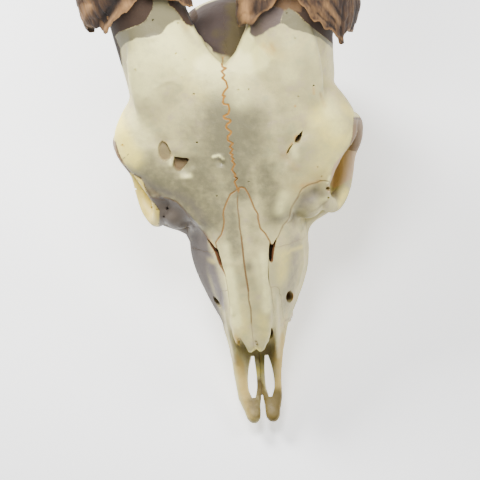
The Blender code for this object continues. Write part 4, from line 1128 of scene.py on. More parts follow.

# %% [markdown]
# ## Stains, painted shade and painted highlights
# Old bone is stained by soil, fat and leaves: olive and grey on the nose, tan where the
# horns rotted, rust in the seams. Some paint stands for light instead. Pale strokes are
# painted highlights on the crests, ridges and horn cores; grey and lilac washes are partly
# painted shade towards the snout and on the left cheek; dark outlines under the sheaths
# are their painted shadows. The dark bone behind the notch is stain and painted shadow,
# and the brown deep inside the openings is painted shade. Each pigment is a number painted
# on the vertices, with soft strokes as wide as the real patches. A mark with a sharp edge
# is an outline in the picture instead, and the thinnest marks are ink lines. Hollows that
# the picture doesn't show are stained by how deep they lie, so the other sides look as old
# as the front.

# %% The painted strokes: strength, width in millimetres, then the pixels they run through
STAIN_AND_LIGHT_STROKES = {
    # an olive-grey stain, and also painted shade that darkens the forehead's lower half, the sides of the
    # brows, the nose and the recess at the notch
    "grey": [
        (0.85, 17.0, [(142, 178), (176, 192), (214, 212)]), (0.4, 16.0, [(286, 150), (276, 190)]),
        (0.35, 12.0, [(238, 235), (248, 280)]), (0.4, 14.0, [(190, 130), (206, 120)]),
        (0.35, 8.0, [(322, 182), (336, 196)]), (1.0, 18.0, [(227, 120), (228, 150)]),
        (0.9, 14.0, [(246, 122), (246, 146)]), (0.9, 11.0, [(236, 168), (240, 190)]),
        (0.6, 13.0, [(196, 130), (202, 150)]), (0.8, 13.0, [(200, 168), (207, 190), (214, 212)]),
        (0.8, 9.0, [(264, 170), (270, 192), (276, 214)]), (0.8, 6.0, [(230, 206), (232, 228), (235, 250)]),
        (0.5, 5.0, [(252, 214), (254, 240)]), (0.7, 5.0, [(249, 266)]),
        (0.6, 6.0, [(150, 155), (158, 175)]), (0.4, 4.0, [(166, 97), (176, 100)]),
        (0.4, 8.0, [(282, 112), (286, 140)]), (0.8, 4.0, [(222, 60)]), (0.6, 8.0, [(306, 195), (300, 214)])],
    # a lilac-grey stain, with painted shade on the left cheek and the left tear bone
    "lilac": [
        (1.0, 8.0, [(160, 206), (172, 214), (182, 226)]), (0.9, 9.0, [(192, 240), (197, 262), (208, 290)]),
        (0.5, 4.0, [(142, 180), (156, 190), (176, 195), (192, 204), (204, 222)]),
        (1.0, 5.5, [(200, 242), (209, 262), (217, 286), (222, 302)]), (0.5, 5.0, [(318, 195), (310, 200)]),
        (0.6, 7.0, [(212, 300), (219, 318)]), (0.6, 5.0, [(314, 194), (304, 203)]),
        (0.55, 8.0, [(294, 242), (294, 272), (287, 302)]), (0.4, 6.0, [(296, 215), (290, 236)]),
        (0.35, 7.0, [(306, 60), (312, 84)]), (0.7, 3.0, [(334, 192), (337, 198)]),
        (0.5, 5.0, [(133, 180), (128, 168)])],
    # a warm yellow tint, which also serves as a painted highlight on the lit edges of the brows
    "yellow": [
        (1.3, 7.5, [(116, 120), (120, 138), (129, 154)]), (0.7, 10.0, [(324, 118), (338, 138)]),
        (1.0, 3.0, [(257, 352), (258, 372)]), (0.4, 5.0, [(262, 48), (272, 56)]),
        (0.5, 2.2, [(261, 358), (260, 374), (264, 388)]), (0.35, 6.0, [(238, 84), (246, 70)]),
        (0.5, 5.0, [(345, 108), (354, 116)]), (0.45, 9.0, [(322, 130), (332, 150), (322, 168)]),
        (0.7, 3.0, [(340, 204), (346, 192)]), (0.5, 4.0, [(138, 196), (143, 207)]),
        (0.5, 6.0, [(284, 256), (282, 275)]), (0.45, 6.0, [(236, 308), (242, 328)]),
        (0.4, 5.0, [(262, 318), (266, 334)]), (0.35, 8.0, [(190, 78), (200, 92)]),
        (0.5, 1.6, [(277, 255), (285, 257), (291, 250), (302, 247)]),
        (0.4, 2.0, [(195, 256), (206, 259), (214, 262)]), (0.3, 6.0, [(152, 60), (170, 70)])],
    # mostly painted highlights: the crests of the notch, the tops of the horn cores, the nasal ridges, the
    # brows, the bumps and the rim of the glinting dent
    "pale": [
        (0.8, 14.0, [(142, 58), (178, 52), (214, 68)]), (0.35, 12.0, [(258, 62), (292, 52), (316, 84)]),
        (1.0, 3.4, [(248, 42), (243, 56), (239, 66)]),
        (0.6, 3.0, [(186, 22), (197, 39), (210, 52), (220, 62)]),
        (1.2, 6.0, [(172, 32), (178, 42), (190, 54), (204, 63), (218, 72)]),
        (0.8, 5.5, [(262, 62), (252, 68), (240, 70)]), (0.55, 8.0, [(240, 70), (236, 84), (240, 98)]),
        (0.35, 3.6, [(158, 92), (166, 86), (177, 84)]), (0.35, 9.0, [(312, 48), (314, 66), (318, 86)]),
        (0.5, 7.0, [(330, 112), (338, 128)]), (0.5, 3.0, [(226, 246), (228, 262)]),
        (1.0, 3.4, [(229, 272), (231, 288), (234, 306), (236, 322)]),
        (0.7, 3.0, [(263, 255), (265, 285), (267, 310)]), (0.6, 4.0, [(284, 196), (280, 210)]),
        (0.8, 12.0, [(146, 58), (142, 84)]), (0.9, 11.0, [(162, 46), (184, 60)]),
        (0.5, 8.0, [(284, 58), (290, 74)]), (0.5, 8.0, [(138, 120), (142, 140)]),
        (0.6, 1.8, [(182, 176), (190, 176)]), (0.6, 1.4, [(171, 161), (171, 165)]),
        (0.5, 2.6, [(293, 148), (296, 156)]), (0.9, 0.9, [(213, 157), (219, 155.5), (223, 159)]),
        (0.8, 1.2, [(328, 182), (330, 177)]), (0.6, 3.0, [(229, 285), (232, 306)]),
        (0.5, 3.0, [(256, 262), (262, 290)]), (0.5, 2.0, [(322, 199.6), (327, 198)]),
        (0.6, 3.0, [(236, 352), (240, 378)])],
    "tan": [
        (0.6, 3.4, [(172, 3), (180, 12), (187, 26)]), (0.9, 5.0, [(281, 1), (292, 5), (300, 14)]),
        (0.8, 4.0, [(357, 125), (356, 145)]), (0.6, 5.0, [(341, 160), (338, 172)]),
        (0.45, 7.0, [(300, 186), (318, 178)]), (0.6, 3.4, [(113, 146), (121, 160), (128, 172)]),
        (0.35, 7.0, [(334, 84), (344, 104)]), (0.4, 5.0, [(274, 46), (282, 56)]),
        (1.1, 3.4, [(236, 340), (240, 365), (245, 392), (252, 414)]),
        (1.2, 4.4, [(281, 340), (282, 372), (279, 395), (271, 414)]), (0.5, 5.0, [(284, 322), (283, 345)])],
    "ochre": [
        (0.5, 1.6, [(271, 44), (274, 50)]), (0.35, 2.6, [(264, 46), (272, 54)]),
        (0.9, 0.7, [(295.2, 106.1)]), (0.6, 1.0, [(249, 66)]), (0.7, 1.0, [(166.5, 146), (171, 156)]),
        (0.5, 1.0, [(313.7, 88), (314, 94)]), (0.35, 1.6, [(321, 94), (325, 106)]),
        (0.6, 1.0, [(162, 142), (166, 143)]), (0.8, 1.4, [(296, 137), (297, 141)]),
        (0.6, 0.9, [(292.3, 143), (289.8, 146), (286.9, 153.4)]), (0.3, 3.0, [(284, 155), (296, 168)]),
        (0.7, 1.2, [(207, 238), (213, 246)]), (0.7, 1.0, [(293.3, 294.5), (292.8, 300)]),
        (0.4, 2.0, [(328, 187), (330, 192)]), (0.6, 1.2, [(166, 208), (168, 209)]),
        (0.5, 0.8, [(122, 145), (124, 146)]), (0.4, 1.4, [(222, 55), (226, 65)]),
        (0.5, 1.4, [(302, 186), (312, 183), (320, 181)])],
    "brown": [
        (0.9, 0.8, [(179, 158.6), (188, 159.6)]), (0.7, 0.7, [(153, 20)]),
        (0.4, 1.0, [(320, 93), (321, 97)]), (0.7, 1.0, [(112, 142), (114, 146), (119, 156), (126, 168)]),
        (0.5, 1.2, [(130, 172), (142, 179)]), (0.7, 1.0, [(144, 185), (149, 194), (155, 204)]),
        (0.6, 1.2, [(158, 224), (170, 226), (179, 230), (186, 238)]), (0.4, 2.0, [(164, 220), (176, 222)]),
        (0.5, 2.0, [(150, 191), (160, 196)]), (0.8, 0.8, [(354, 118.5), (361, 119)]),
        (0.5, 0.8, [(351, 150), (355, 150)]), (0.5, 0.9, [(328, 200), (320, 207), (312, 211)]),
        (0.4, 1.0, [(307, 222), (301, 232)]), (0.6, 1.6, [(204, 232), (208, 239)]),
        (0.6, 0.8, [(255.5, 341), (258, 345)]), (0.5, 1.0, [(290.5, 318), (285, 320.5)])],
    "olive": [
        (0.9, 5.0, [(256, 414), (254, 400)]), (1.3, 5.5, [(271, 413), (275, 398)]),
        (1.2, 3.4, [(258, 384), (263, 396), (268, 404)])],
    # a dark stain together with the painted shadow of the horns, on the braincase behind the notch
    "dusk": [
        (1.0, 14.0, [(203, 14), (222, 8), (240, 10)]),
        (1.0, 11.0, [(206, 28), (216, 37), (230, 38), (242, 30)])],
    # an olive stain with painted shade, on the braincase behind the notch
    "moss": [(1.3, 8.0, [(240, 8), (244, 20), (242, 34), (236, 46)]), (0.6, 4.0, [(216, 34), (226, 33)])],
    "shine": [(1.0, 1.3, [(216, 157), (222, 163)])],
}

# %% Stains, painted shadows and a painted highlight with a sharp edge: colour, softness of the edge in millimetres, and outlines
LEFT_CORE_EDGE = [
    (152.6, -6), (153.5, 4), (152.6, 8.8), (149.1, 15.8), (145.6, 21.1), (140.9, 24.6), (135.6, 26.4),
    (130.3, 28.2), (124.4, 30.5), (118.6, 32.3), (115.6, 36.5)]
CORE_SIDE_EDGE = [(166, -6), (168.4, 5.3), (174.3, 8.8), (179.6, 15.3), (182.5, 20.5), (186, 24.6)]
RIGHT_CORE_EDGE = [
    (287.7, 7.5), (293.7, 10.5), (299.7, 15.8), (304.2, 21.1), (309.5, 25.6), (314.8, 30.1), (320.8, 34.6),
    (326.8, 39.1), (333, 45)]
FLAP_EDGE = [
    (280.5, 23.3), (275.6, 26.3), (269.6, 28.6), (265.9, 31.6), (262.1, 34.6), (255.3, 36.9), (252.3, 36.1),
    (249.7, 33.1), (250.1, 26.3)]
TEAR_SIDE = [
    (155, 197.7), (163, 197.2), (172, 199.5), (178.2, 203), (183.6, 208.4), (190.7, 215.5), (197.9, 224.5),
    (204.1, 232.5), (208, 238.3)]
RIGHT_BROW_EDGE = [
    (353.5, 117), (352.9, 127.6), (351.8, 136.7), (350.6, 142.5), (346.6, 149.6), (342.6, 154.5),
    (337.4, 160.8), (334, 164.2), (332.2, 170), (330.5, 177), (330, 184)]
PATCHES = {
    # a painted highlight on the lit facet between the right crests of the notch
    "facet": ((1.0, 0.93, 0.40, 1), 0.9, [
        [(250.1, 26), (254.6, 42.1), (260.6, 48.9), (266.6, 55.7), (271.1, 60.2), (263, 67), (251, 73),
         (238, 73), (228, 69), (226, 64), (232, 62), (236, 52.7), (240.6, 43.6), (244, 36)]]),
    # painted shadows that the sheaths' rims cast on the horn cores
    "shade": ((0.185, 0.165, 0.085, 1), 0.35, [
        LEFT_CORE_EDGE + [(118.6, 43.4), (120.6, 48.7), (125, 43.4), (130.3, 41.1), (136.2, 38.1),
         (147.9, 37.6), (151.4, 36.4), (158.5, 35.2), (162, 33.5), (164.3, 29.9), (167.3, 25.8),
         (171.4, 22.9), (175.5, 20.5), (182, 20)] + CORE_SIDE_EDGE[3::-1],
        RIGHT_CORE_EDGE + [(333, 48.8), (325.3, 42.1), (319.3, 37.6), (313.3, 35.4), (307.2, 33.1),
         (299.7, 30.9), (293.7, 30.1), (289.2, 27.8), (284.7, 24.1), (280.5, 23.3), (282.4, 15),
         (284.7, 10.5)]]),
    # the painted shadow of the right sheath's hanging flap on its core
    "mauve": ((0.13, 0.095, 0.08, 1), 0.5, [
        FLAP_EDGE + [(246, 20), (258, 10), (270, 6), (282, 6), (284.7, 10.5), (282.4, 15)]]),
    # brown stain on the cores under the sheaths' rims, darkened further as their painted shadow
    "umber": ((0.040, 0.021, 0.011, 1), 0.5, [
        LEFT_CORE_EDGE + [(118.6, 43.4), (120.6, 48.7), (121.2, 55), (122.5, 66), (116, 60), (110, 50),
         (105, 38), (98, 25), (98, -6)],
        CORE_SIDE_EDGE + [(192, 27), (198, 18), (192, -6)],
        RIGHT_CORE_EDGE + [(340, 46), (340, 30), (322, 16), (311, 6), (303, -6), (292, -6), (291, 3)]]),
    # golden brown stain and painted shadow on the right core, between the sheath's torn pieces
    "amber": ((0.14, 0.075, 0.03, 1), 0.7, [
        [(270, -6), (271, 6), (280, 8), (284.7, 11), (289, 8), (294, 11), (301, 12), (303, -6)]]),
    "bar": ((0.24, 0.155, 0.08, 1), 0.3, [
        BROW_EDGE[:7] + [(131, 174), (126, 176), (117, 171), (108, 162), (103, 148), (104, 136),
         (112, 139)],
        RIGHT_BROW_EDGE[:5] + [(355, 151.5), (362, 152), (370, 140), (370, 118), (361, 117)]]),
    "socket": ((0.56, 0.39, 0.22, 1), 0.5, [
        RIGHT_BROW_EDGE[4:] + [(333, 188), (339, 186), (346, 182), (352, 178), (357, 165), (357, 152)]]),
    "cream": ((0.76, 0.59, 0.13, 1), 0.4, [
        BROW_EDGE[5:] + [(159, 221.8), (158.6, 226), (150, 224), (142, 217), (137, 208), (131, 196),
         (128, 184), (126, 176)]]),
    # dark lilac on the tear bone under the left brow: part stain, part painted shade
    "tear": ((0.13, 0.105, 0.082, 1), 0.6, [
        TEAR_SIDE + [(207, 246), (196, 246), (186, 250), (182, 240), (175, 233), (167, 229), (159, 228)]
        + BROW_EDGE[:-4:-1]]),
    # dark grey on the left cheek beside the nose: part stain, part painted shade
    "slate": ((0.125, 0.105, 0.092, 1), 1.9, [
        [(180, 232), (186, 262), (194, 290), (206, 314), (222, 334), (225, 322), (219, 306), (213, 291),
         (209, 276), (208, 262), (209, 250), (206, 238), (196, 234)]]),
    # reddish brown painted inside the breathing slits as their shade
    "rot": ((0.26, 0.11, 0.05, 1), 0.3, [
        SHAFTS["left breathing slit"][2], SHAFTS["right breathing slit"][2]]),
}
# thin dark lines: half width in millimetres, and pixels
INK = [
    (0.45, BROW_EDGE[:4]), (0.6, BROW_EDGE[4:8]), (0.35, BROW_EDGE[8:]), (0.3, [(123, 159), (129, 154)]),
    (0.5, [(158.6, 223.4), (167.5, 225.4), (176.4, 229.8), (183.6, 235.2), (188, 243.2)]),
    (0.4, [(179, 158.4), (188.4, 159.2)]), (0.35, [(353.5, 118.5), (361, 119)]),
    (0.3, [(350.6, 150), (356, 150)])]
INK_BROWN = (0.06, 0.035, 0.02, 1)
PATCH_REACH = 2.0            # millimetres beyond an edge where a patch is no longer measured
PATCH_DEPTH = 9.0            # how far behind the visible skin a patch still runs

DUSK_LEVEL = 121.0           # only bone lower than this is painted dark between the horns, as stain and painted shadow
DUSK_EDGE = 1.5
# how dark the seam is: strength and pixels
LINES = [
    (1.0, FOREHEAD_SUTURE), (1.0, NOSE_SUTURE[4:9]), (0.75, NOSE_SUTURE), (0.9, LEFT_NASAL_EDGE[5:]),
    (0.9, RIGHT_NASAL_EDGE[:11]), (0.35, LEFT_NASAL_EDGE), (0.4, RIGHT_NASAL_EDGE), (0.55, TEAR_EDGES[1]),
    (0.45, TEAR_EDGES[-1])]
RUST_LINES = [
    (1.0, FOREHEAD_SUTURE[:30]), (0.6, FOREHEAD_SUTURE[30:]), (0.4, LEFT_NASAL_EDGE[6:]),
    (0.4, RIGHT_NASAL_EDGE[:10])]
LINE_REACH = 1.6
SEAM_REACH = 2.5             # beyond this the distance to the next bone isn't needed
FAINT_LINE = 0.22            # seams that the picture doesn't show
# places and radii of the stained hollows
HOLLOWS = [
    ((40, 120, 72), 18.0), ((44, 151, 80), 17.0), ((0, 58, 34), 16.0), ((0, 85, 44), 19.0),
    ((0, 128, 30), 20.0), ((0, 205, 52), 14.0)]
HOLLOW_EDGE = 7.0


def painted(places, strokes):
    """The strongest of several strokes at each place."""
    amount = np.zeros(len(places))
    for strength, width, path in strokes:
        amount = np.maximum(amount, strength * stroke(places, path, width))
    return amount


def in_picture(places):
    """The pixels at which drawn places show, and how far they lie from the camera in metres."""
    away = placed(places) - np.array(eye)
    share = away @ -np.array(toward) / DISTANCE
    across = away @ np.array(right) / share * PIXELS_EACH + AIM_PIXEL[0]
    down = AIM_PIXEL[1] - away @ np.array(up) / share * PIXELS_EACH
    return np.stack((across, down), 1), np.linalg.norm(away, axis=1)


def inside_by(pixels, outline):
    """How far pixels lie inside an outline, in pixels; less than nothing outside it."""
    ends = np.asarray(outline + outline[:1], float)
    best = near_path(pixels, ends)
    inside = np.zeros(len(pixels), bool)
    for a, b in zip(ends[:-1], ends[1:]):
        along = b - a
        if along[1]:
            crosses = (a[1] > pixels[:, 1]) != (b[1] > pixels[:, 1])
            inside ^= crosses & (pixels[:, 0] < a[0] + (pixels[:, 1] - a[1]) * along[0] / along[1])
    return np.where(inside, best, -best)


def patch(pixels, reach, outlines):
    """How far places lie inside outlines in the picture, in millimetres, on the skin that shows there."""
    felt = np.full(len(pixels), -PATCH_REACH)
    for outline in outlines:
        chosen = np.flatnonzero(in_box(pixels, outline, PATCH_REACH * PIXELS_EACH))
        for k, inside in zip(chosen, inside_by(pixels[chosen], outline) / PIXELS_EACH):
            if inside > felt[k]:
                shown = skin.ray_cast(eye, sight(pixels[k]))[3]
                behind = 0.0 if shown is None else max(0.0, reach[k] - shown) / MM
                felt[k] = max(felt[k], min(inside, PATCH_REACH, PATCH_DEPTH - behind))
    return felt


def hollow_depth(places):
    """How deep each place lies in one of the hollows, from 0 to 1."""
    deep = np.zeros(len(places))
    for centre, radius in HOLLOWS:
        for side in (-1, 1):
            away = np.linalg.norm(places - np.array((side * centre[0], *centre[1:])), axis=1)
            deep = np.maximum(deep, np.clip((radius - away) / HOLLOW_EDGE, 0, 1))
    return deep


def give(thing, name, amounts):
    """Keep a number for each vertex of an object."""
    layer = thing.data.attributes.new(name, "FLOAT", "POINT")
    layer.data.foreach_set("value", np.asarray(amounts, np.float32))


def next_bone(name, spots):
    """How far each spot of a bone lies from the next bone, in millimetres, up to SEAM_REACH."""
    seam = np.full(len(spots), SEAM_REACH)
    for other, tree in trees.items():
        if other == name:
            continue
        for k in np.flatnonzero(in_box(spots, boxes[other], SEAM_REACH * MM)):
            found = tree.find_nearest(spots[k], SEAM_REACH * MM)
            if found[3] is not None:
                seam[k] = min(seam[k], found[3] / MM)
    return seam


# %% Paint every bone
traced = {pigment: [(strength, width, on_skin(pixels)) for strength, width, pixels in rows]
          for pigment, rows in STAIN_AND_LIGHT_STROKES.items()}
lines = [(strength, LINE_REACH, on_skin(pixels)) for strength, pixels in LINES]
rust = [(strength, LINE_REACH * 2, on_skin(pixels)) for strength, pixels in RUST_LINES]
ink = [(width, on_skin(pixels)) for width, pixels in INK]
trees = {bone.name: tree_of(bone) for bone in bones}
boxes = {bone.name: (corners(bone).min(0), corners(bone).max(0)) for bone in bones}
for bone in bones:
    spots = corners(bone)
    places = drawn(spots)
    for pigment, strokes in traced.items():
        amount = painted(places, strokes)
        # the stain and painted shadow behind the notch stays below DUSK_LEVEL
        if pigment in ("dusk", "moss"):
            amount *= np.clip((DUSK_LEVEL - places[:, 2]) / DUSK_EDGE, 0, 1)
        give(bone, pigment, amount)
    pixels, reach = in_picture(places)
    for name, (stain, soft, outlines) in PATCHES.items():
        give(bone, name, patch(pixels, reach, outlines))
    marks = [np.clip(width - near_path(places, path), -PATCH_REACH, 1) for width, path in ink]
    give(bone, "ink", np.max(marks, axis=0))
    # depth under the first skin, for the painted shade inside the openings
    give(bone, "deep", [skin.find_nearest(spot)[3] / MM for spot in spots])
    give(bone, "line", np.maximum(FAINT_LINE, painted(places, lines)))
    give(bone, "rust", painted(places, rust))
    give(bone, "hollow", hollow_depth(places))
    give(bone, "seam", next_bone(bone.name, spots))
print("attributes of each bone's mesh:", len(skull.data.attributes))

# %% [markdown]
# ## Shader sums
# A finish is easier to read as a sum than as a web of nodes. A Wire wraps one socket, and
# adding, taking away, multiplying or dividing it adds the Math node. Every other node comes
# from its method node, and what varies over the surface only reaches colour, roughness and
# bump.

# %% A socket that sums can be written with
NOISE_ROUGHNESS = 0.55


class Wire:
    """A socket in a node tree."""

    def __init__(self, tree, socket=None):
        self.tree = tree
        self.socket = socket

    def node(self, kind, settings=None, inputs=None, output=0):
        """Add a node: its settings first, then the value or wire of each input."""
        made = self.tree.nodes.new(kind)
        for name, value in (settings or {}).items():
            if name == "stops":
                self.set_stops(made.color_ramp, value)
            else:
                setattr(made, name, value)
        for name, value in (inputs or {}).items():
            if isinstance(value, Wire):
                self.tree.links.new(value.socket, made.inputs[name])
            else:
                made.inputs[name].default_value = value
        return Wire(self.tree, made.outputs[output])

    @staticmethod
    def set_stops(ramp, stops):
        """Give a colour ramp its places and colours."""
        while len(ramp.elements) < len(stops):
            ramp.elements.new(0.5)
        for element, (place, colour) in zip(ramp.elements, stops):
            element.position = place
            element.color = colour

    def maths(self, operation, *values):
        """Add a Math node."""
        return self.node("ShaderNodeMath", {"operation": operation}, dict(enumerate(values)))

    def __add__(self, other):
        return self.maths("ADD", self, other)

    def __sub__(self, other):
        return self.maths("SUBTRACT", self, other)

    def __rsub__(self, other):
        return self.maths("SUBTRACT", other, self)

    def __mul__(self, other):
        return self.maths("MULTIPLY", self, other)

    def __truediv__(self, other):
        return self.maths("DIVIDE", self, other)

    __radd__ = __add__
    __rmul__ = __mul__

    def step(self, low, high):
        """Rise smoothly from 0 at low to 1 at high."""
        return self.node("ShaderNodeMapRange", {"interpolation_type": "SMOOTHSTEP"},
                         {"Value": self, "From Min": low, "From Max": high})

    def mix(self, factor, base, over):
        """Lay one colour over another."""
        return self.node("ShaderNodeMix", {"data_type": "RGBA"}, {0: factor, 6: base, 7: over}, 2)

    def noise(self, size, detail=3.0, stretch=(1, 1, 1), seed=0.0):
        """Noise from 0 to 1 whose lumps are about size millimetres across."""
        spot = self.node("ShaderNodeTexCoord", output=3)
        spot = self.node("ShaderNodeMapping", None, {"Vector": spot, "Location": (seed, seed, seed),
                                                     "Scale": stretch})
        return self.node("ShaderNodeTexNoise", None, {"Vector": spot, "Scale": 1 / (size * MM),
                                                      "Detail": detail, "Roughness": NOISE_ROUGHNESS})

    def attribute(self, name):
        """A number painted on the vertices."""
        return self.node("ShaderNodeAttribute", {"attribute_name": name}, output=2)


def finish(name, build):
    """A material whose colour, roughness and bump height come from a function."""
    made = bpy.data.materials.new(name)
    made.use_nodes = True
    tree = made.node_tree
    shader = tree.nodes["Principled BSDF"]
    shader.inputs["Metallic"].default_value = 0.0
    colour, roughness, height, depth = build(Wire(tree))
    bump = Wire(tree).node("ShaderNodeBump", None,
                           {"Height": height, "Distance": depth * MM, "Strength": 1.0})
    tree.links.new(colour.socket, shader.inputs["Base Color"])
    tree.links.new(bump.socket, shader.inputs["Normal"])
    tree.links.new(roughness.socket, shader.inputs["Roughness"])
    return made


# %% [markdown]
# ## Bone
# Dry bone is ivory with soft olive clouds, a satin surface and fine pores. The pigments,
# stains as well as painted shade and painted highlights, are laid over it one after the
# other, each broken up by noise so that no stroke has a smooth edge, and a thin rust or
# brown line runs where the next bone begins.

# %% The finish of bone
# the colour that each painted number lays over the ivory; grey and lilac are partly painted shade, and pale
# and yellow partly painted highlights
PIGMENTS = {
    "grey": (0.20, 0.18, 0.095, 1),
    "lilac": (0.16, 0.13, 0.115, 1),
    "yellow": (1.0, 0.84, 0.20, 1),
    "pale": (1.0, 0.93, 0.40, 1),
    "tan": (0.58, 0.415, 0.115, 1),
    "olive": (0.15, 0.105, 0.022, 1),
    "ochre": (0.62, 0.33, 0.06, 1),
    "brown": (0.13, 0.07, 0.03, 1),
}
# a dark stain and painted shadow behind the notch, and an olive one beside it
DUSK = (0.056, 0.038, 0.032, 1)
DOME_OLIVE = (0.072, 0.053, 0.020, 1)
IVORY = (0.66, 0.58, 0.26, 1)
IVORY_DARK = (0.46, 0.405, 0.19, 1)
ROSE = (0.52, 0.41, 0.28, 1)
OLIVE_GREY = (0.42, 0.42, 0.22, 1)
HOLLOW_STAIN = (0.40, 0.25, 0.09, 1)
DEEP_SHADE = (0.24, 0.165, 0.085, 1)
DEEP = (0.6, 3.2)            # millimetres under the skin where the painted shade inside the openings begins, and is full
RUST = (0.44, 0.19, 0.015, 1)
SEAM_BROWN = (0.22, 0.12, 0.04, 1)
SEAM_WIDTH = (0.30, 1.0)     # share of a line's width where it is full, and gone

# sizes of the noise in millimetres
CLOUD_SIZE = 16.0
TINT_SIZE = 6.0
BLOTCH_SIZE = 3.2
DIMPLE_SIZE = 2.4
FLECK_SIZE = 1.1
FRAY_SIZE = 0.8
SPECK_SIZE = 0.7
PORE_SIZE = 0.55
# the numbers at which a layer begins and is full
CLOUDED = (0.38, 0.66)
TINTED = (0.52, 0.70)
FLECKED = (0.50, 0.72)
SPECKED = (0.68, 0.80)
PAINTED = (0.05, 1.0)
DUSKY = (0.36, 0.56)
DOME_OLIVE_STEP = (0.2, 0.9)
INKED = (-0.2, 0.25)
# how much of it a layer hides of what lies under it
COVER = {"cloud": 0.8, "tint": 0.5, "fleck": 0.30, "hollow": 0.8, "ink": 0.85, "speck": 0.4}
RAGGED = (0.55, 0.9)         # least strength of a stroke, and how much of it the blotches vary
WOBBLE = 0.7                 # millimetres by which the edge of a patch is frayed
SEAM_FRAY = 0.3
LINE_WIDTH = (0.3, 0.55)     # width of a seam's line in millimetres, and how much a dark one adds
SATIN = 0.46                 # roughness of clean bone
# what each mark adds to the roughness
ROUGHER = {"cloud": 0.14, "line": 0.2, "dull": 0.3, "shine": -0.28}
PORE_DEPTH = 0.45
LINE_DEPTH = 1.2
BONE_BUMP = 0.2              # millimetres


def bone_coat(wire):
    """Stained ivory bone with painted shade and highlights, rusty seams and fine pores."""
    cloud = wire.noise(CLOUD_SIZE, 4.0)
    tint = wire.noise(TINT_SIZE, 4.0, seed=11.0)
    blotch = wire.noise(BLOTCH_SIZE, 4.0, seed=3.0)
    fleck = wire.noise(FLECK_SIZE, 4.0, seed=13.0)
    speck = wire.noise(SPECK_SIZE, 2.0, seed=7.0)
    colour = wire.mix(cloud.step(*CLOUDED) * COVER["cloud"], IVORY, IVORY_DARK)
    colour = wire.mix(tint.step(*TINTED) * COVER["tint"], colour, ROSE)
    colour = wire.mix((1 - tint).step(*TINTED) * COVER["tint"], colour, OLIVE_GREY)
    colour = wire.mix(fleck.step(*FLECKED) * COVER["fleck"], colour, IVORY_DARK)
    ragged = blotch * RAGGED[1] + RAGGED[0]
    colour = wire.mix(wire.attribute("hollow") * ragged * COVER["hollow"], colour, HOLLOW_STAIN)
    # grey and lilac are partly painted shade, and pale and yellow partly painted highlights
    for name, stain in PIGMENTS.items():
        colour = wire.mix((wire.attribute(name) * ragged).step(*PAINTED), colour, stain)
    # stain and painted shadow on the braincase behind the notch
    dusk = wire.attribute("dusk").step(*DUSKY)
    colour = wire.mix(dusk, colour, DUSK)
    colour = wire.mix((wire.attribute("moss") * ragged).step(*DOME_OLIVE_STEP), colour, DOME_OLIVE)
    # painted shade deep inside the openings
    colour = wire.mix(wire.attribute("deep").step(*DEEP), colour, DEEP_SHADE)
    wobble = (speck + blotch - 1.0) * WOBBLE
    # sharp patches: stains, painted shadows under the sheaths, and a painted highlight on a facet
    for name, (stain, soft, outlines) in PATCHES.items():
        colour = wire.mix((wire.attribute(name) + wobble).step(-soft, soft), colour, stain)
    ink = (wire.attribute("ink") + wobble * 0.5).step(*INKED)
    colour = wire.mix(ink * COVER["ink"], colour, INK_BROWN)
    colour = wire.mix(speck.step(*SPECKED) * COVER["speck"], colour, SEAM_BROWN)

    edge = wire.attribute("seam") + (wire.noise(FRAY_SIZE, 2.0, seed=5.0) - 0.5) * SEAM_FRAY
    width = wire.attribute("line") * LINE_WIDTH[1] + LINE_WIDTH[0]
    line = (1 - (edge / width).step(*SEAM_WIDTH)) * wire.attribute("line")
    line = line * (1 - wire.attribute("dusk"))
    colour = wire.mix(line, colour, wire.mix(wire.attribute("rust"), SEAM_BROWN, RUST))

    dull = dusk
    for name in ("umber", "slate"):
        soft = PATCHES[name][1]
        dull = dull + wire.attribute(name).step(-soft, soft)
    rough = SATIN + cloud * ROUGHER["cloud"] + line * ROUGHER["line"] + dull * ROUGHER["dull"]
    rough = rough + wire.attribute("shine") * ROUGHER["shine"]
    height = wire.noise(PORE_SIZE, 2.0) * PORE_DEPTH + wire.noise(DIMPLE_SIZE, 3.0, seed=2.0)
    return colour, rough, height - line * LINE_DEPTH, BONE_BUMP


# %% The finish of teeth
ENAMEL = (0.72, 0.62, 0.40, 1)
TOOTH_STAIN = (0.30, 0.20, 0.10, 1)
TOOTH_STAINED = (0.40, 0.66)
TOOTH_STREAKS = 1.6          # millimetres
STREAK_LENGTH = 4            # how much longer than wide the streaks are
TOOTH_ROUGHNESS = (0.28, 0.2)
TOOTH_BUMP = 0.2


def tooth_coat(wire):
    """Glossy enamel with brown streaks from root to tip."""
    streak = wire.noise(TOOTH_STREAKS, 4.0, (1, 1, 1 / STREAK_LENGTH))
    colour = wire.mix(streak.step(*TOOTH_STAINED), ENAMEL, TOOTH_STAIN)
    return colour, TOOTH_ROUGHNESS[0] + streak * TOOTH_ROUGHNESS[1], streak, TOOTH_BUMP


bone_finish = finish("bone_finish", bone_coat)
tooth_finish = finish("tooth_finish", tooth_coat)

# %% [markdown]
# ## Horn sheaths
# The sheath is dead horn that has come loose from its core. Its rim has rotted into a torn
# line that hangs low in front, and its outer layers have flaked off in steps. The sheath is
# one closed tube: up the inside from its blind end to the rim, and along the outside to the
# tip. The rim is traced in the picture where it shows, and drawn from the species behind.

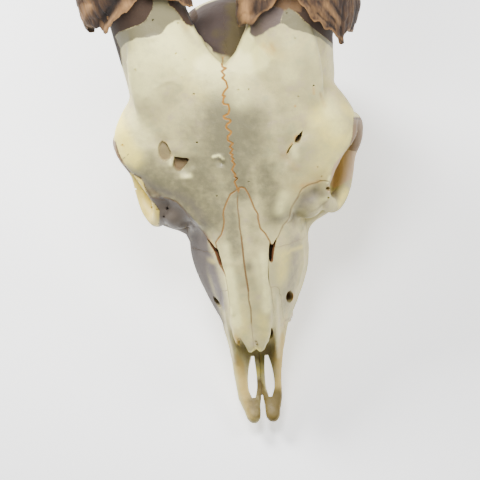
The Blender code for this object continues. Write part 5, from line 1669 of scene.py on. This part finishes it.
# %% The sheath's sizes, and its rim as reach in millimetres at angles round the horn
SHEATH_HALF = (31.0, 29.5)
SHEATH_SHIFT = 1.5
SHEATH_TIP = 0.05
SHEATH_WALL = 2.2
SHEATH_SIDES = 250
SHEATH_ROWS = 220
TAPER_POWER = 1.35           # over 1, the sheath narrows more towards its tip
ROW_CROWDING = 1.35          # over 1, the rows lie closer together at the rim
LINING_START = 2.5           # how far beyond the core's tip the sheath is hollow
LINING_LENGTH = 42.5
LINING_ROWS = 20
LINING_MARKS = (0.3, 9.0)    # the fibre number and the distance behind the rim that are kept for it
RIM_MARKS = (0.5, 0.0)
RIM_BEVEL = 0.8              # share of the wall to which the rim is bevelled
RIM = {
    1: [
        (0, 29), (30, 31), (55, 37), (75, 49), (95, 65), (112, 66), (130, 50), (150, 37), (175, 35),
        (215, 43), (250, 39), (285, 43), (320, 33)],
    -1: [
        (0, 43), (35, 48), (60, 62), (85, 79), (112, 83), (135, 78), (158, 66), (180, 63), (215, 66),
        (250, 58), (285, 51), (320, 45)],
}
# the stretches of the rim that show, in pixels
RIM_SEEN = {
    1: [
        [(297, 1), (303, 10), (311, 14.5), (314, 21), (324, 27), (331, 32), (337, 35.5), (343.5, 41),
         (346, 45), (349, 40), (352, 32)],
        [(242, 22), (245, 27), (249.5, 28), (254, 19.5), (262, 15), (269, 10), (276, 1)]],
    -1: [
        [(138, 1), (132, 9), (126, 15), (115, 22), (106, 28), (101, 36.5), (96, 31), (90, 30), (84, 26)],
        [(184, 2), (190, 6), (196, 9), (199, 5)]],
}


def taper(reach):
    """How much of its base size the horn still has, reach along it."""
    share = np.minimum(reach / HORN_LENGTH, 1.0)
    return SHEATH_TIP + (1 - SHEATH_TIP) * (1 - share ** TAPER_POWER)


def sheath_points(side, reach, angle, rise=0.0):
    """Drawn places on the sheath, raised a little from its smooth outside."""
    size = taper(reach)
    halves = (SHEATH_HALF[0] * size + rise, SHEATH_HALF[1] * size + rise)
    return horn_points(horn_line(side), reach, angle, halves, SHEATH_SHIFT * size)


RIM_ANGLES = np.arange(0, 360, 1.5)
RIM_REACHES = np.arange(20.0, 130.0, 1.0)
RIM_NEAR = 1.5               # millimetres within which a place counts as lying under a pixel
RIM_MARGIN = 12              # degrees beside a seen stretch in which the drawn rim is left out
FAR = 9.0                    # metres, farther away than any place that counts
# the tears along the rim: how deep in millimetres, how fine, and seed
RIM_TEARS = [(1.4, 9, 1), (0.5, 30, 3)]


def rim_rows(side):
    """Angles and reaches of the rim, with the seen stretches read off the picture."""
    angle, reach = [grid.ravel() for grid in np.meshgrid(RIM_ANGLES, RIM_REACHES)]
    away = placed(sheath_points(side, reach, angle)) - np.array(eye)
    rows = list(RIM[side])
    for pixels in RIM_SEEN[side]:
        found = []
        for pixel in pixels:
            way = np.array(sight(pixel))
            ahead = away @ way
            off = np.linalg.norm(away - ahead[:, None] * way, axis=1)
            best = np.argmin(np.where(off < RIM_NEAR * MM, ahead, FAR + off))
            found.append((float(angle[best]), float(reach[best])))
        low, high = min(found)[0], max(found)[0]
        rows = [row for row in rows if not low - RIM_MARGIN < row[0] < high + RIM_MARGIN] + found
    return sorted(rows)


def torn(angle, reach, scale, seed):
    """Noise from -1 to 1 over the sheath, by angle and reach."""
    return np.array([noise.noise((math.cos(math.radians(a)) * scale[0], math.sin(math.radians(a)) * scale[0],
                                  r * scale[1] + seed)) for a, r in zip(angle, reach)])


def rim_reach(side, angle):
    """How far along the horn the torn rim lies, at angles round it."""
    rows = rim_rows(side)
    reach = np.interp(angle, [row[0] for row in rows], [row[1] for row in rows], period=360)
    still = np.zeros(len(angle))
    for depth, fine, seed in RIM_TEARS:
        reach = reach + depth * torn(angle, still, (fine, 0), side * seed)
    return reach


# %% Flakes, fibres and growth rings
LAST_FLAKES = (5.0, 13.0, 24.0)      # how far behind the rim each outer layer ends
FLAKE = 0.42                 # thickness of a layer
FLAKE_EDGE = 0.7
FLAKE_WANDER = 5.0           # how far a layer's edge strays
WANDER_FULL = 12             # distance behind the rim at which it strays that far
RIM_THIN = 0.5               # how much thinner the wall is at the rim
RIM_FADE = 0.8               # how far behind the rim that fades
FIBRES = 13.0                # how fine the fibres are round the horn
FINE_FIBRES = 2.6            # how much finer the second set is
FIBRE_TWIST = 0.12           # degrees for each millimetre
FIBRE_CHANGE = (0.018, 0.04)  # how fast each set changes along the horn
FIBRE_RISE = 0.55
FINE_RISE = 0.2
RING_RISE = 0.75
RING_STEP = 7.5
RING_DRIFT = (2.0, 19)       # by how much and how slowly the step between rings varies
RING_SLANT = 0.5
RINGS_FROM = 60              # reach at which the rings begin; at twice this they are full
RINGS_LEAST = 0.15
DEEPEST = 0.9                # share of the horn's half width
HIGHEST = 0.4


def outside(side, angles, reach, behind):
    """How far the outside of a sheath rises at each angle, and how pale its fibres are."""
    twisted = angles + reach * FIBRE_TWIST
    fibre = 1 - 2 * np.abs(torn(twisted, reach, (FIBRES, FIBRE_CHANGE[0]), side * 9.0))
    fine = torn(twisted, reach, (FIBRES * FINE_FIBRES, FIBRE_CHANGE[1]), side * 4.0)
    wander = FLAKE_WANDER * torn(angles, reach * 0, (4, 0), side * 5)
    rise = -FLAKE * len(LAST_FLAKES) - RIM_THIN * np.exp(-behind / RIM_FADE)
    for place in LAST_FLAKES:
        rise = rise + FLAKE * np.clip((behind - place - wander * place / WANDER_FULL) / FLAKE_EDGE, 0, 1)
    age = np.clip((reach - RINGS_FROM) / RINGS_FROM, RINGS_LEAST, 1)
    drift = RING_DRIFT[0] * np.sin(reach / RING_DRIFT[1])
    waves = np.sin(2 * math.pi * (reach + drift) / RING_STEP + np.radians(angles) * RING_SLANT)
    size = taper(reach)
    rise = rise + size * (FIBRE_RISE * (fibre - 0.5) + FINE_RISE * fine + RING_RISE * age * waves)
    rise = np.maximum(rise, -DEEPEST * size * SHEATH_HALF[1])
    return np.minimum(rise, HIGHEST), (fibre + 0.5 * fine + 1) / 2.5


# %% Grow a sheath ring by ring
def horn_sheath(side, name):
    """The hollow sheath of one horn, with its fibres, flakes and growth rings."""
    line = horn_line(side)
    angles = np.arange(SHEATH_SIDES) * 360.0 / SHEATH_SIDES
    rim = rim_reach(side, angles)
    bm = bmesh.new()
    rings, fibres, edges = [], [], []

    def ring(spots, fibre, edge):
        """Add a ring of vertices and what is painted on it."""
        rings.append(add_ring(bm, spots))
        fibres.extend(np.broadcast_to(fibre, SHEATH_SIDES))
        edges.extend(np.broadcast_to(edge, SHEATH_SIDES))

    start = CORE_LENGTH + LINING_START
    for reach in np.linspace(start, start - LINING_LENGTH, LINING_ROWS):
        size = core_size(reach)
        halves = (CORE_HALF[0] * size + CORE_CLEAR, CORE_HALF[1] * size + CORE_CLEAR)
        ring(horn_points(line, np.full(SHEATH_SIDES, reach), angles, halves), *LINING_MARKS)
    for inset in (SHEATH_WALL, SHEATH_WALL * RIM_BEVEL):
        ring(sheath_points(side, rim, angles, -inset), *RIM_MARKS)
    for k in range(SHEATH_ROWS):
        share = (k / (SHEATH_ROWS - 1)) ** ROW_CROWDING
        reach = rim + (HORN_LENGTH - rim) * share
        rise, pale = outside(side, angles, reach, reach - rim)
        ring(sheath_points(side, reach, angles, rise), pale, reach - rim)
    close_tube(bm, rings)
    sheath = link(name, bm)
    give(sheath, "fibre", fibres)
    give(sheath, "behind", edges)
    return sheath


# %% Carve and stain the sheaths, and paint shade into their clefts and cracks
CRACKS = [
    [(306, 2), (322, 18), (336, 30)], [(318, 2), (334, 20), (345, 34)], [(332, 2), (341, 16), (350, 28)]]
# on each side: rise and width in millimetres, then the pixels that a stroke runs through
SHEATH_RELIEF = {
    -1: [
        (-2.2, 2.6, [(115, 0), (108, 12), (100, 25)]), (0.7, 1.5, [(121, 6), (112, 20), (104, 33)]),
        (0.5, 1.4, [(98, 2), (88, 18)]), (2.2, 8.0, [(82, 4), (85, 14), (87, 24)])],
    1: [
        (2.6, 9.0, [(357, 0), (356, 8)]), (1.6, 6.0, [(241, 2), (242, 16)]),
        (-0.8, 0.7, CRACKS[0]), (-0.8, 0.6, CRACKS[1]), (-0.7, 0.6, CRACKS[2]),
        (1.2, 1.3, [(346.5, 43)]), (-1.2, 1.2, [(256, 2), (254, 14)])],
}
# strength, width and pixels
SHEATH_STAINS_AND_SHADE = {
    "tan": [
        (1.0, 2.6, [(90, 4), (86, 20)]), (1.0, 2.4, [(128, 4), (116, 17), (106, 28)]),
        (0.9, 3.0, [(246, 4), (247, 14), (247, 21)]), (0.6, 1.2, [(312, 8), (326, 22)]),
        (0.6, 1.4, [(326, 4), (340, 24)]), (0.5, 1.0, [(298, 2), (304, 10), (312, 15)]),
        (0.7, 1.4, [(280, 2), (286, 3)]), (0.6, 0.6, [(314, 21), (330, 31), (344, 40)]),
        (0.7, 0.8, [(274, 2), (270, 8)])],
    # dark horn, and painted shade in the clefts between the torn pieces and in the cracks
    "dark": [
        (1.0, 2.6, [(115, 0), (108, 12), (99, 27), (92, 27)]),
        (0.9, 0.6, CRACKS[0]), (0.9, 0.6, CRACKS[1]), (0.8, 0.6, CRACKS[2]),
        (0.9, 1.8, [(243, 25), (250, 26)]), (0.8, 1.6, [(256, 2), (255, 12)]),
        (0.6, 1.4, [(266, 2), (262, 11)]), (1.0, 1.4, [(346.5, 43)]), (0.5, 3.0, [(352, 10), (350, 28)])],
}


HORNS_APART = 220            # the pixel column between the two sheaths


def carve_sheath(side, sheath):
    """Carve the torn places of a sheath and paint its dark and tan patches; the dark ones are dark horn with
    painted shade in its clefts and cracks.
    """
    tree = tree_of(sheath)
    places = drawn(corners(sheath))
    rise = np.zeros(len(places))
    for depth, width, pixels in SHEATH_RELIEF[side]:
        rise += depth * stroke(places, on_piece(tree, pixels), width)
    raise_skin(sheath, places, rise)
    for pigment, rows in SHEATH_STAINS_AND_SHADE.items():
        strokes = []
        for strength, width, pixels in rows:
            if (pixels[0][0] > HORNS_APART) == (side > 0):
                strokes.append((strength, width, on_piece(tree, pixels)))
        give(sheath, pigment, painted(places, strokes))


sheaths = [horn_sheath(side, "sheath_" + word) for side, word in ((1, "left"), (-1, "right"))]
for side, sheath in zip((1, -1), sheaths):
    carve_sheath(side, sheath)
    print(sheath.name, len(sheath.data.vertices), "vertices")

# %% The finish of horn
HORN_COLOURS = [
    (0.0, (0.006, 0.003, 0.002, 1)), (0.40, (0.028, 0.012, 0.005, 1)), (0.70, (0.085, 0.043, 0.018, 1)),
    (1.0, (0.26, 0.14, 0.055, 1))]
HORN_TAN = (0.34, 0.18, 0.065, 1)
# dark horn, and painted shade in clefts and cracks
HORN_DARK_AND_SHADE = (0.012, 0.007, 0.005, 1)
HORN_STREAKS = 1.0           # millimetres
HORN_PATCHES = 9.0
HORN_PORES = 0.5
PORE_HEIGHT = 0.4
# how much fibres, streaks and patches count for the shade, and what is taken off
HORN_SHADE = (0.75, 0.75, 0.5, 0.3)
FRAYED = (0.2, 1.6)          # millimetres behind the rim in which it is frayed and tan
FRAYED_COVER = 0.6
HORN_ROUGHNESS = (0.62, 0.25)
HORN_BUMP = 0.35             # millimetres


def horn_coat(wire):
    """Brown, fibrous horn that is tan where it is frayed, with painted shade in its clefts and cracks."""
    streak = wire.noise(HORN_STREAKS, 4.0, (1, 0.22, 0.22), 2.0)
    patchy = wire.noise(HORN_PATCHES, 3.0, (1, 0.5, 0.5), 5.0) - 0.5
    shade = wire.attribute("fibre") * HORN_SHADE[0] + streak * HORN_SHADE[1] + patchy * HORN_SHADE[2]
    colour = wire.node("ShaderNodeValToRGB", {"stops": HORN_COLOURS}, {"Fac": shade - HORN_SHADE[3]})
    colour = wire.mix(wire.attribute("tan") * (streak + 0.4), colour, HORN_TAN)
    colour = wire.mix((1 - wire.attribute("behind").step(*FRAYED)) * FRAYED_COVER, colour, HORN_TAN)
    # painted shade in the clefts and cracks, on dark horn
    colour = wire.mix(wire.attribute("dark"), colour, HORN_DARK_AND_SHADE)
    height = streak + wire.noise(HORN_PORES, 2.0, (1, 0.3, 0.3)) * PORE_HEIGHT
    return colour, HORN_ROUGHNESS[0] + streak * HORN_ROUGHNESS[1], height, HORN_BUMP


horn_finish = finish("horn_finish", horn_coat)

# %% [markdown]
# ## Dress the frame
# Each bone stands in for the node of the same name and rides on the skull's one body.

# %% Finishes and bodies
BONE_SHARP = 45              # degrees between two faces past which their edge stays sharp
SHARP = 50


def coat(piece, look, angle):
    """Give a piece its finish, and shade it smooth except at sharp edges."""
    piece.data.materials.clear()
    piece.data.materials.append(look)
    piece.data.shade_smooth()
    piece.data.set_sharp_from_angle(angle=math.radians(angle))


for bone in bones:
    coat(bone, bone_finish, BONE_SHARP)
    node = bone.name.removeprefix("bone_")
    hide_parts(node)
    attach(bone, "root")
for row in teeth:
    coat(row, tooth_finish, SHARP)
    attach(row, "root")
for sheath, word in zip(sheaths, ("left", "right")):
    coat(sheath, horn_finish, SHARP)
    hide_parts("horn_" + word)
    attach(sheath, "root")
print("pieces:", len(bones) + len(teeth) + len(sheaths))

# %% The finish of the floor
FLOOR_COLOURS = ((0.93, 0.93, 0.93, 1), (0.95, 0.95, 0.95, 1))
FLOOR_GRAIN = 40.0           # millimetres
FLOOR_ROUGHNESS = (0.85, 0.1)
FLOOR_BUMP = 0.02


def floor_coat(wire):
    """A plain pale floor."""
    grain = wire.noise(FLOOR_GRAIN, 2.0)
    rough = FLOOR_ROUGHNESS[0] + grain * FLOOR_ROUGHNESS[1]
    return wire.mix(grain, *FLOOR_COLOURS), rough, grain, FLOOR_BUMP


floor_finish = finish("floor_finish", floor_coat)
floor_shader = floor_finish.node_tree.nodes["Principled BSDF"]
floor_shader.inputs["Emission Color"].default_value = WHITE
floor_shader.inputs["Emission Strength"].default_value = FLOOR_GLOW
floor.data.materials.append(floor_finish)
